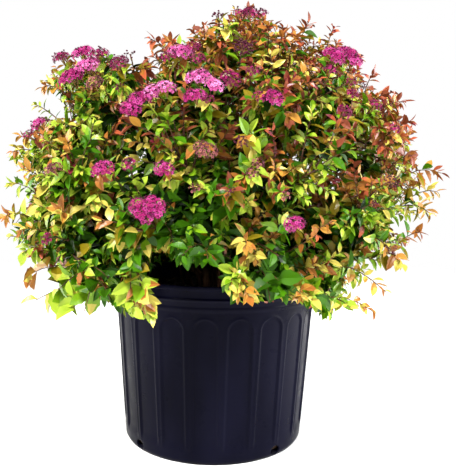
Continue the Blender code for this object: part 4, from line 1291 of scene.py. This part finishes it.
def leaf_points(shape, leaf):
    """The points of leaves of one shape, as leaves by points by three.

    A point at share u and side v lies at u along the heading, v times the half width across, and
    rises by the fold times its distance from the midrib, less the curl times u squared.
    """
    run, half, side = leaf_grid(*shape)
    column = {name: part[:, None] for name, part in leaf.items()}
    half_widths = half * column["width"]
    lift = (column["fold"] * np.abs(side) + column["twist"] * run * side) * half_widths
    lift = lift - column["curl"] * run ** 2
    run = run - 0.4 * column["curl"] * run ** 2
    places = (
        column["heading"] * run[..., None]
        + column["across"] * (half_widths * side)[..., None]
        + column["face"] * lift[..., None]
    )
    return column["root"] + places * column["length"][..., None]


# %% Where the leaves are large, and how they are tinted
LEAF_LENGTH = 0.0188
LEAF_WIDTH = 0.46
# How much broader a leaf is for its length when it is twice as long
LEAF_BREADTH = 0.14


def spray_of(places):
    """The kind of spray at each place, drawn by weights that change with height and to the right.

    Green sprays stand low in the middle, partly for the older leaves there and partly as painted
    shade under the crown; lime ones on the left and low down, amber ones on the right, and copper
    and wine ones towards the top. Dark ones, whose tints are painted shade, are only placed by marks.
    """
    offset = (places - CROWN_CENTRE) / CROWN_REACH
    height, right = offset[:, 2], offset[:, 0]
    middle = np.clip(1.0 - 1.3 * np.abs(right + 0.15), 0.0, None)
    # Low in the middle, the green sprays' dark tints are partly older, greener leaves and partly painted
    # shade under the crown
    low_middle_shade = middle * np.clip(0.15 - height, 0.0, 0.45)
    warm = np.clip(0.65 + right, 0.2, 1.2) * np.clip(height + 0.05, 0.0, None)
    weights = np.stack(
        [
            0.04 + 2.6 * low_middle_shade,
            0.38 + 0.35 * np.clip(-right, 0.0, None) - 0.30 * np.clip(height, -1.0, 0.8) - 0.5 * low_middle_shade,
            0.12 + 0.20 * np.clip(right, 0.0, None) + 0.06 * np.clip(-right - 0.4, 0.0, None),
            0.07 + 0.75 * warm,
            0.02 + 0.55 * warm,
            0.0 * height,
        ],
        axis=-1,
    )
    edges = np.cumsum(weights / weights.sum(axis=1, keepdims=True), axis=1)
    return (rng.uniform(size=(len(places), 1)) > edges).sum(axis=1)


# %% Place the leaves
# For each role of twig: leaves on it, the shares of its length where they begin and end, how they
# crowd towards the tip, and their size
TWIG_LEAVES = (
    (12, 0.12, 1.0, 0.62, 1.0),
    (17, 0.15, 1.0, 0.9, 1.30),
    (14, 0.10, 1.0, 0.7, 1.1),
    (9, 0.15, 0.86, 0.9, 0.95),
)
SHOOT_LEAVES = (15, 0.22, 1.0, 0.9, 1.3)
# The ages of the first and the last leaf of each role of twig, from 0, the oldest, to 4. Inner twigs
# have only the two oldest ages, whose dark tints are partly old leaves and partly painted shade inside
TWIG_AGES = ((0.6, 4), (0, 1), (1.6, 4), (0.6, 4))
LEAF_TILTS = (80.0, 36.0)
LEAF_DROOP = 0.16
FLUSHED = 0.50


def leaf_set(curves, plan, vigour, sprays, oldest, youngest, loose):
    """Where the leaves of one set of twigs grow, and how: a dictionary of arrays, one row a leaf."""
    each, start, end, crowding, size = plan
    count = curves.shape[1]
    steps = (np.arange(each) + rng.uniform(0.2, 0.8, (count, each))) / each
    shares = start + (end - start) * steps ** crowding
    turns = rng.uniform(0.0, math.tau, (count, 1)) + np.arange(each) * GOLDEN_TURN
    tilts = LEAF_TILTS[0] + (LEAF_TILTS[1] - LEAF_TILTS[0]) * shares ** 2
    tilts = tilts + rng.normal(0.0, 9.0, shares.shape)
    sizes = LEAF_LENGTH * size * vigour[:, None] * (1.0 - 0.42 * shares ** 3)
    sizes = sizes * rng.uniform(0.75, 1.25, shares.shape)
    ages = oldest + (youngest + 1.0 - oldest) * shares ** 1.2 + rng.normal(-0.3, 0.45, shares.shape)
    leaves = {
        "root": bezier(curves, shares),
        "along": curve_ways(curves, shares),
        "turn": turns,
        "tilt": np.radians(tilts),
        "length": sizes,
        "spray": np.repeat(sprays[:, None], each, axis=1),
        "age": np.clip(ages, 0, AGES - 1).astype(int),
        "loose": np.repeat(loose[:, None], each, axis=1),
        "inner": np.full((count, each), youngest < 2),
        "vigour": np.repeat(vigour[:, None], each, axis=1),
    }
    return {name: part.reshape(count * each, *part.shape[2:]) for name, part in leaves.items()}


twig_vigour = vigour_at(twig_curves[2]) * rng.uniform(0.86, 1.14, len(roles))
twig_sprays = spray_of(twig_curves[2])
twig_sprays[roles == SPRIG] = [SPRAYS.index(mark[3]) for mark in SPRIGS]
twig_vigour[roles == SPRIG] = [mark[2] for mark in SPRIGS]
looseness = np.zeros(len(roles))
looseness[roles == OUTER] = outer_loose
looseness[roles >= SPRIG] = 1.0
looseness[roles == SPRIG] = SPRIG_LOOSE
sets = []
for role, plan in enumerate(TWIG_LEAVES):
    chosen = grown & (roles == role)
    ages = TWIG_AGES[role]
    parts = (twig_vigour[chosen], twig_sprays[chosen], *ages, looseness[chosen])
    sets.append(leaf_set(twig_curves[:, chosen], plan, *parts))
shoot_parts = (vigour_at(shoot_tips), spray_of(shoot_tips), 0, 2, np.zeros(len(shoot_tips)))
sets.append(leaf_set(shoot_curves, SHOOT_LEAVES, *shoot_parts))
leaf = {name: np.concatenate([part[name] for part in sets]) for name in sets[0]}
count = len(leaf["root"])
print("leaves before pruning:", count)

# %% Turn every leaf
side = unit(np.cross(leaf["along"], SLANT))
other = np.cross(leaf["along"], side)
away = side * np.cos(leaf["turn"])[:, None] + other * np.sin(leaf["turn"])[:, None]
heading = leaf["along"] * np.cos(leaf["tilt"])[:, None] + away * np.sin(leaf["tilt"])[:, None]
heading = unit(heading - UP * LEAF_DROOP)
light = unit(leaf["root"] - CROWN_CENTRE) * 0.6 + UP * 0.55 + rng.normal(0.0, 0.28, (count, 3))
leaf["heading"] = heading
leaf["across"] = unit(np.cross(light, heading))
leaf["face"] = np.cross(heading, leaf["across"])
breadth = LEAF_WIDTH + LEAF_BREADTH * (leaf["length"] / LEAF_LENGTH - 1.0)
leaf["width"] = rng.uniform(0.85, 1.15, count) * breadth
leaf["fold"] = rng.uniform(0.20, 0.80, count)
leaf["curl"] = rng.normal(0.12, 0.10, count)
leaf["twist"] = rng.normal(0.0, 0.35, count)
leaves = leaf_points(SMALL_LEAF, leaf)

# %% Prune the leaves
LEAF_EDGE_ROOM = -2.0
HEAD_VIEW_SHARE = 0.85
HEAD_VIEW_ROOM = 2.0
HEAD_VIEW_DEPTH = 0.010
HEAD_CROWDING = 0.8
LEAF_HEM_ROOM = 0.004
# From this leaf size on, a marked shoot keeps only a share of its leaves
FULL_SHOOT_SIZE = 1.25
FULL_SHOOT_KEPT = 0.62
BOX_SHARE = 0.8
fabric_room = 0.03 * (CAD_HIGH - CAD_LOW) + 0.010


def hides_head(middles):
    """Whether a leaf stands between the camera and a marked flower head."""
    gap = np.linalg.norm(photo_pixels(middles)[:, None] - head_marks[None], axis=-1)
    wide = np.array([mark[2] for mark in HEADS]) * HEAD_VIEW_SHARE + HEAD_VIEW_ROOM
    nearer = np.linalg.norm(middles - CAMERA_SPOT, axis=1)[:, None] < head_depths + HEAD_VIEW_DEPTH
    return ((gap < wide) & nearer).any(axis=1)


def crowds_head(middles):
    """Whether a leaf pushes into any flower head."""
    gap = np.linalg.norm(middles[:, None] - head_places, axis=-1)
    return (gap < head_radii * HEAD_CROWDING).any(axis=1)


middles = leaves.mean(axis=1)
box_low = CAD_LOW - fabric_room * BOX_SHARE
box_high = CAD_HIGH + fabric_room * BOX_SHARE
fits = ((leaves > box_low) & (leaves < box_high)).all(axis=(1, 2))
fits &= ~hits_pot(leaves) & ~hides_head(middles) & ~crowds_head(middles)
over_edge = LEAF_EDGE_ROOM * (1.0 + np.minimum(leaf["loose"], TWIG_LOOSE))
fits &= edge_room(leaves, leaf["loose"][:, None]).min(axis=1) > over_edge
fits &= leaves[..., 2].min(axis=1) > HEM_HEIGHT - LEAF_HEM_ROOM
usual = (leaf["loose"] < SPRIG_LOOSE) | (leaf["vigour"] < FULL_SHOOT_SIZE)
fits &= usual | (rng.uniform(size=count) < FULL_SHOOT_KEPT)
print("leaves left:", fits.sum())

# %% Make the leaf pieces
LARGE_LENGTH = 0.0200
# Share of leaves whose rim takes the first tint of their spray and age
RIM_SHARE = 0.7

younger = np.minimum(leaf["age"] + 1, AGES - 1)
base_tint = palette[leaf["spray"], leaf["age"], rng.integers(0, 3, count)]
young_tint = palette[leaf["spray"], younger, rng.integers(0, 3, count)]
rim_tint = palette[leaf["spray"], leaf["age"], 0]
tip_tint = np.where(rng.uniform(size=count) < FLUSHED, young_tint, base_tint)
rim_tint = np.where(rng.uniform(size=count) < RIM_SHARE, rim_tint, base_tint)
leaf_tints = np.stack([base_tint, tip_tint, rim_tint], axis=-1)


def leaf_piece(name, shape, chosen):
    """A piece of chosen leaves of one shape, with the tint of each face's zone as its slot."""
    points = leaf_points(shape, {key: part[chosen] for key, part in leaf.items()})
    faces, zones = leaf_faces(*shape)
    slots = np.concatenate([leaf_tints[chosen][:, zone].ravel() for zone in zones])
    faces = repeated(faces, len(points), points.shape[1])
    piece = new_piece(name, points.reshape(-1, 3), faces, leaf_materials, slots, smooth=False)
    return piece


is_large = (leaf["length"] > LARGE_LENGTH) & (leaf["age"] > 1) & (leaf["loose"] > 0)
leaf_piece("large_leaves", LARGE_LEAF, fits & is_large)
leaf_piece("inner_leaves", INNER_LEAF, fits & leaf["inner"])
owner = np.argmax(unit(leaf["root"] - CROWN_CENTRE) @ mass_axes.T, axis=1)
mass_ring = np.array([name.split("_")[1] for name in mass_names])
mass_half = np.where(mass_axes[:, 1] < 0.02, "front", "back")
mass_group = np.char.add(np.char.add(mass_ring, "_"), mass_half)
for group in dict.fromkeys(mass_group):
    masses = np.nonzero(mass_group == group)[0]
    chosen = fits & ~is_large & ~leaf["inner"] & np.isin(owner, masses)
    piece = leaf_piece("leaves_" + group, SMALL_LEAF, chosen)
    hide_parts(*[mass_names[number] for number in masses])

# %% [markdown]
# ## Flower heads
# Spirea flowers in flat-topped heads of small florets, each with five round petals and long stamens
# that make the head look fuzzy. A head is several small domes side by side, on stalks that fork. Some
# are open and magenta, some pale, some faded to brown, and some are still clusters of dark buds.

# %% Petal colours and florets
PETAL_COLOURS = {
    "petal_magenta": paint(136, 16, 84),
    "petal_pink": paint(162, 54, 120),
    "petal_lilac": paint(198, 116, 168),
    "petal_deep": paint(84, 6, 46),
    "petal_faded": paint(134, 78, 78),
    "bud_plum": paint(64, 18, 36),
    "stamen": paint(220, 138, 186),
    "flower_stalk": paint(118, 92, 52),
}
# For each kind of head: the tints of its petals, of its hearts and of its stamens, and its florets' size.
# The hearts are darker than the petals, partly the florets' own eyes and partly painted shade among them
HEAD_KINDS = {
    "bright": (("petal_magenta", "petal_magenta", "petal_pink"), "petal_deep", "petal_pink", 1.0),
    "pale": (("petal_pink", "petal_lilac", "petal_pink"), "petal_magenta", "stamen", 1.0),
    "deep": (("petal_deep", "petal_magenta", "petal_deep"), "bud_plum", "petal_magenta", 0.8),
    "faded": (("petal_faded", "petal_faded", "bud_plum"), "bud_plum", "petal_faded", 0.8),
    "bud": (("bud_plum", "petal_deep", "bud_plum"), "bud_plum", "bud_plum", 0.6),
}
FLORET_RADIUS = 0.0023
petal_materials = [new_material(name, colour, 0.6, 0.12) for name, colour in PETAL_COLOURS.items()]
petal_numbers = {name: number for number, name in enumerate(PETAL_COLOURS)}


def ring_of(radius, turns, height):
    """Points at a radius and height round the middle, one for each turn."""
    return np.stack([radius * np.cos(turns), radius * np.sin(turns), np.full(len(turns), height)], axis=-1)


def floret_shape():
    """A floret one unit in radius facing up: five cupped petals, five stamens, and a raised heart.

    A petal is a kite from the middle out to a rounded tip. A stamen is a long thin triangle.
    """
    turns = np.arange(5) * math.tau / 5
    half = math.radians(31)
    between = turns + math.tau / 10
    kite = [ring_of(*row) for row in ((0.12, turns, 0.0), (0.78, turns - half, 0.16), (1.0, turns, 0.3))]
    kite.append(ring_of(0.78, turns + half, 0.16))
    stamen = [ring_of(0.2, between + turn, 0.1) for turn in (-0.25, 0.25)]
    stamen.append(ring_of(0.95, between, 1.0))
    first = np.arange(5)
    quads = np.stack([first, first + 5, first + 10, first + 15], axis=-1)
    spikes = np.stack([first + 20, first + 25, first + 30], axis=-1)
    heart = np.arange(35, 40)[None]
    return np.concatenate([*kite, *stamen, ring_of(0.22, turns, 0.16)]), [quads, spikes, heart]


# %% Small domes of each head
DOME_SPACING = 0.0052
DOME_SPREAD = 0.66
FLORET_SPACING = 0.0030
DOME_RISE = 0.75
DOME_FILL = 0.8
DOME_MOST = 9
DOME_SIZE = 1.12
DOME_LEAN = 0.7
# How far a dome sits under its head's place: in the middle, and how much more at the edge
DOME_DROP = (0.25, 0.30)
FLORET_FILL = 1.55
FLORET_LEAST = 5
DOME_COVER = math.radians(95)


def nested(counts):
    """For items dealt out by counts: the number of each one's group, its rank there, and its share."""
    group = np.repeat(np.arange(len(counts)), counts)
    rank = np.arange(len(group)) - np.repeat(np.cumsum(counts) - counts, counts)
    return group, rank, (rank + 0.5) / counts[group]


def turned_rings(axes, group, turns):
    """Unit vectors square to the axes of groups, turned by angles about them."""
    side = unit(np.cross(axes, SLANT))[group]
    other = np.cross(axes[group], side)
    return side * np.cos(turns)[:, None] + other * np.sin(turns)[:, None]


head_axes = unit(unit(head_places - CROWN_CENTRE) * 0.75 + UP * 0.6)
dome_counts = np.clip(np.round(DOME_FILL * (head_radii / DOME_SPACING) ** 2), 1, DOME_MOST).astype(int)
dome_head, dome_rank, dome_share = nested(dome_counts)
dome_rings = turned_rings(head_axes, dome_head, dome_rank * GOLDEN_TURN + dome_head)
dome_out = np.where(dome_counts[dome_head] > 1, DOME_SPREAD * np.sqrt(dome_share), 0.0)
dome_sizes = np.where(dome_counts > 1, DOME_SIZE / np.sqrt(dome_counts), 1.0)
dome_radii = head_radii[dome_head] * dome_sizes[dome_head]
dome_radii *= rng.uniform(0.85, 1.15, len(dome_radii))
dome_axes = unit(head_axes[dome_head] + dome_rings * (DOME_LEAN * dome_out)[:, None])
dome_places = head_places[dome_head] + dome_rings * (dome_out * head_radii[dome_head])[:, None]
dome_drops = (DOME_DROP[1] * dome_out ** 2 + DOME_DROP[0]) * head_radii[dome_head]
dome_places -= head_axes[dome_head] * dome_drops[:, None]

# %% Florets of each dome
floret_counts = FLORET_FILL * math.pi * (dome_radii / FLORET_SPACING) ** 2
floret_counts = np.maximum(FLORET_LEAST, floret_counts).astype(int)
floret_dome, floret_rank, floret_share = nested(floret_counts)
floret_head = dome_head[floret_dome]
polar = np.sqrt(floret_share) * DOME_COVER
floret_rings = turned_rings(dome_axes, floret_dome, floret_rank * GOLDEN_TURN + floret_dome)
rise = dome_axes[floret_dome]
floret_ways = floret_rings * np.sin(polar)[:, None] + rise * np.cos(polar)[:, None]
bulge = floret_rings * np.sin(polar)[:, None] + rise * (DOME_RISE * np.cos(polar))[:, None]
floret_places = dome_places[floret_dome] + bulge * dome_radii[floret_dome][:, None]
floret_ways = unit(floret_ways + rise * 0.3 + rng.normal(0.0, 0.2, rise.shape))
kind_sizes = np.array([HEAD_KINDS[kind][3] for kind in head_kinds])
floret_sizes = FLORET_RADIUS * rng.uniform(0.75, 1.15, len(floret_head)) * kind_sizes[floret_head]

# %% Make the blossom
shape_points, shape_faces = floret_shape()
floret_side = unit(np.cross(floret_ways, rng.normal(size=floret_ways.shape)))
floret_frame = np.stack([floret_side, np.cross(floret_ways, floret_side), floret_ways], axis=1)
bloom = (shape_points @ floret_frame) * floret_sizes[:, None, None] + floret_places[:, None]
kind_petals = np.array([[petal_numbers[tint] for tint in HEAD_KINDS[kind][0]] for kind in head_kinds])
# Hearts darker than their petals: partly the florets' own colour, partly painted shade deep in the head
kind_hearts = np.array([petal_numbers[HEAD_KINDS[kind][1]] for kind in head_kinds])
kind_stamens = np.array([petal_numbers[HEAD_KINDS[kind][2]] for kind in head_kinds])
petal_slots = kind_petals[floret_head, rng.integers(0, 3, len(floret_head))]
floret_slots = [np.repeat(petal_slots, 5), np.repeat(kind_stamens[floret_head], 5)]
floret_slots.append(kind_hearts[floret_head])
floret_faces = repeated(shape_faces, len(floret_head), len(shape_points))
floret_slots = np.concatenate(floret_slots)
bloom = bloom.reshape(-1, 3)
blossom = new_piece("blossom", bloom, floret_faces, petal_materials, floret_slots, smooth=False)

# %% Buds and stalks of the heads
BUD_RADIUS = 0.0011
BUD_CHANCE = 0.30
STALK_STEPS = np.linspace(0.0, 1.0, 3)
# Of how many florets one has a stalk of its own
STALKED = 4

neck = head_places - head_axes * (1.1 * head_radii + 0.002)[:, None]
dome_foot = dome_places - dome_axes * (0.1 * dome_radii)[:, None]
dome_stalks = np.stack([neck[dome_head], (neck[dome_head] + dome_foot) / 2, dome_foot])
has_stalk = floret_rank % STALKED == 0
floret_foot = floret_places[has_stalk]
floret_neck = dome_foot[floret_dome][has_stalk]
floret_stalks = np.stack([floret_neck, (floret_neck + floret_foot) / 2, floret_foot])
head_stalks = np.stack([neck, (neck + head_places) / 2, head_places - head_axes * 0.002])
is_bud_head = np.array([kind == "bud" for kind in head_kinds])
has_bud = rng.uniform(size=len(floret_head)) < np.where(is_bud_head[floret_head], 1.0, BUD_CHANCE)
bud_places = floret_places[has_bud] + floret_ways[has_bud] * 0.0008
bud_places += rng.normal(0.0, 0.0010, bud_places.shape)
stalk_skins = [
    wood_skin(bezier(dome_stalks, STALK_STEPS), (0.0006, 0.0004), 4),
    wood_skin(bezier(floret_stalks, STALK_STEPS), (0.0003, 0.0002), 3),
    wood_skin(bezier(head_stalks, STALK_STEPS), (0.0009, 0.0007), 5),
]
stalks = new_piece("flower_stalks", *joined(stalk_skins), [petal_materials[petal_numbers["flower_stalk"]]])
bud_rings = ball_rings(2, 5)[None] * BUD_RADIUS + bud_places[:, None, None]
buds = new_piece("flower_buds", *closed_skins(bud_rings), [petal_materials[petal_numbers["bud_plum"]]])

# %% [markdown]
# ## Light and floor
# The photograph is a cut-out lit by soft daylight on white: leaves glow, the gaps between them fall to
# near black, and the pot's sides catch a bright reflection. The world looks white to the camera but
# lights the plant more weakly, and lamps from above and from both sides do the rest.

# %% Floor
FLOOR_RADIUS = 3.0
FLOOR_FADE = (0.6, 2.6)
FLOOR_SIDES = 96

floor_material = new_material("pale_floor", (0.9, 0.9, 0.9), 0.9, 0.1)
tree = floor_material.node_tree
spot = tree.nodes.new("ShaderNodeTexCoord")
length = tree.nodes.new("ShaderNodeVectorMath")
length.operation = "LENGTH"
fade = tree.nodes.new("ShaderNodeMapRange")
fade.interpolation_type = "SMOOTHSTEP"
fade.inputs["From Min"].default_value = FLOOR_FADE[0]
fade.inputs["From Max"].default_value = FLOOR_FADE[1]
clear = tree.nodes.new("ShaderNodeBsdfTransparent")
mix = tree.nodes.new("ShaderNodeMixShader")
link(floor_material, spot.outputs["Object"], length.inputs[0])
link(floor_material, length.outputs["Value"], fade.inputs["Value"])
link(floor_material, fade.outputs["Result"], mix.inputs["Fac"])
link(floor_material, tree.nodes["Principled BSDF"].outputs["BSDF"], mix.inputs[1])
link(floor_material, clear.outputs["BSDF"], mix.inputs[2])
link(floor_material, mix.outputs["Shader"], tree.nodes["Material Output"].inputs["Surface"])
floor_turns = np.arange(FLOOR_SIDES) * math.tau / FLOOR_SIDES
floor_points = ring_of(FLOOR_RADIUS, floor_turns, 0.0)
floor = new_piece("floor", floor_points, [np.arange(FLOOR_SIDES)[None]], [floor_material])

# %% Lamps
WORLD_STRENGTH = 0.31
LAMPS = (
    # name, place, size, watts and colour
    ("key", (-0.8, -1.7, 2.3), 0.6, 172.0, (1.0, 0.98, 0.94)),
    ("fill", (1.4, -1.5, 1.3), 1.2, 35.0, (1.0, 1.0, 1.0)),
    ("left_side", (-1.7, -0.2, 0.6), 0.9, 40.0, (1.0, 1.0, 1.0)),
    ("right_side", (1.7, -0.1, 0.5), 1.2, 72.0, (1.0, 1.0, 1.0)),
    ("back", (0.3, 1.7, 1.8), 1.2, 30.0, (1.0, 1.0, 1.0)),
)
world = bpy.data.worlds.new("studio")
world.use_nodes = True
nodes = world.node_tree.nodes
glow = nodes["Background"]
glow.inputs["Color"].default_value = (1.0, 1.0, 1.0, 1.0)
glow.inputs["Strength"].default_value = WORLD_STRENGTH
backdrop = nodes.new("ShaderNodeBackground")
backdrop.inputs["Color"].default_value = (1.0, 1.0, 1.0, 1.0)
path = nodes.new("ShaderNodeLightPath")
mix = nodes.new("ShaderNodeMixShader")
world.node_tree.links.new(path.outputs["Is Camera Ray"], mix.inputs["Fac"])
world.node_tree.links.new(glow.outputs["Background"], mix.inputs[1])
world.node_tree.links.new(backdrop.outputs["Background"], mix.inputs[2])
world.node_tree.links.new(mix.outputs["Shader"], nodes["World Output"].inputs["Surface"])
bpy.context.scene.world = world
for name, place, size, watts, colour in LAMPS:
    lamp_data = bpy.data.lights.new(name, "AREA")
    lamp_data.size = size
    lamp_data.energy = watts
    lamp_data.color = colour
    lamp = bpy.data.objects.new(name, lamp_data)
    aim = Vector((0.0, 0.0, 0.3)) - Vector(place)
    lamp.matrix_world = Matrix.Translation(place) @ aim.to_track_quat("-Z", "Y").to_matrix().to_4x4()
    bpy.context.scene.collection.objects.link(lamp)
bpy.context.scene.view_settings.view_transform = "Standard"
print("lamps:", len(LAMPS))

# %% Sizes, and the end
print("model's box:", cad_bounds)
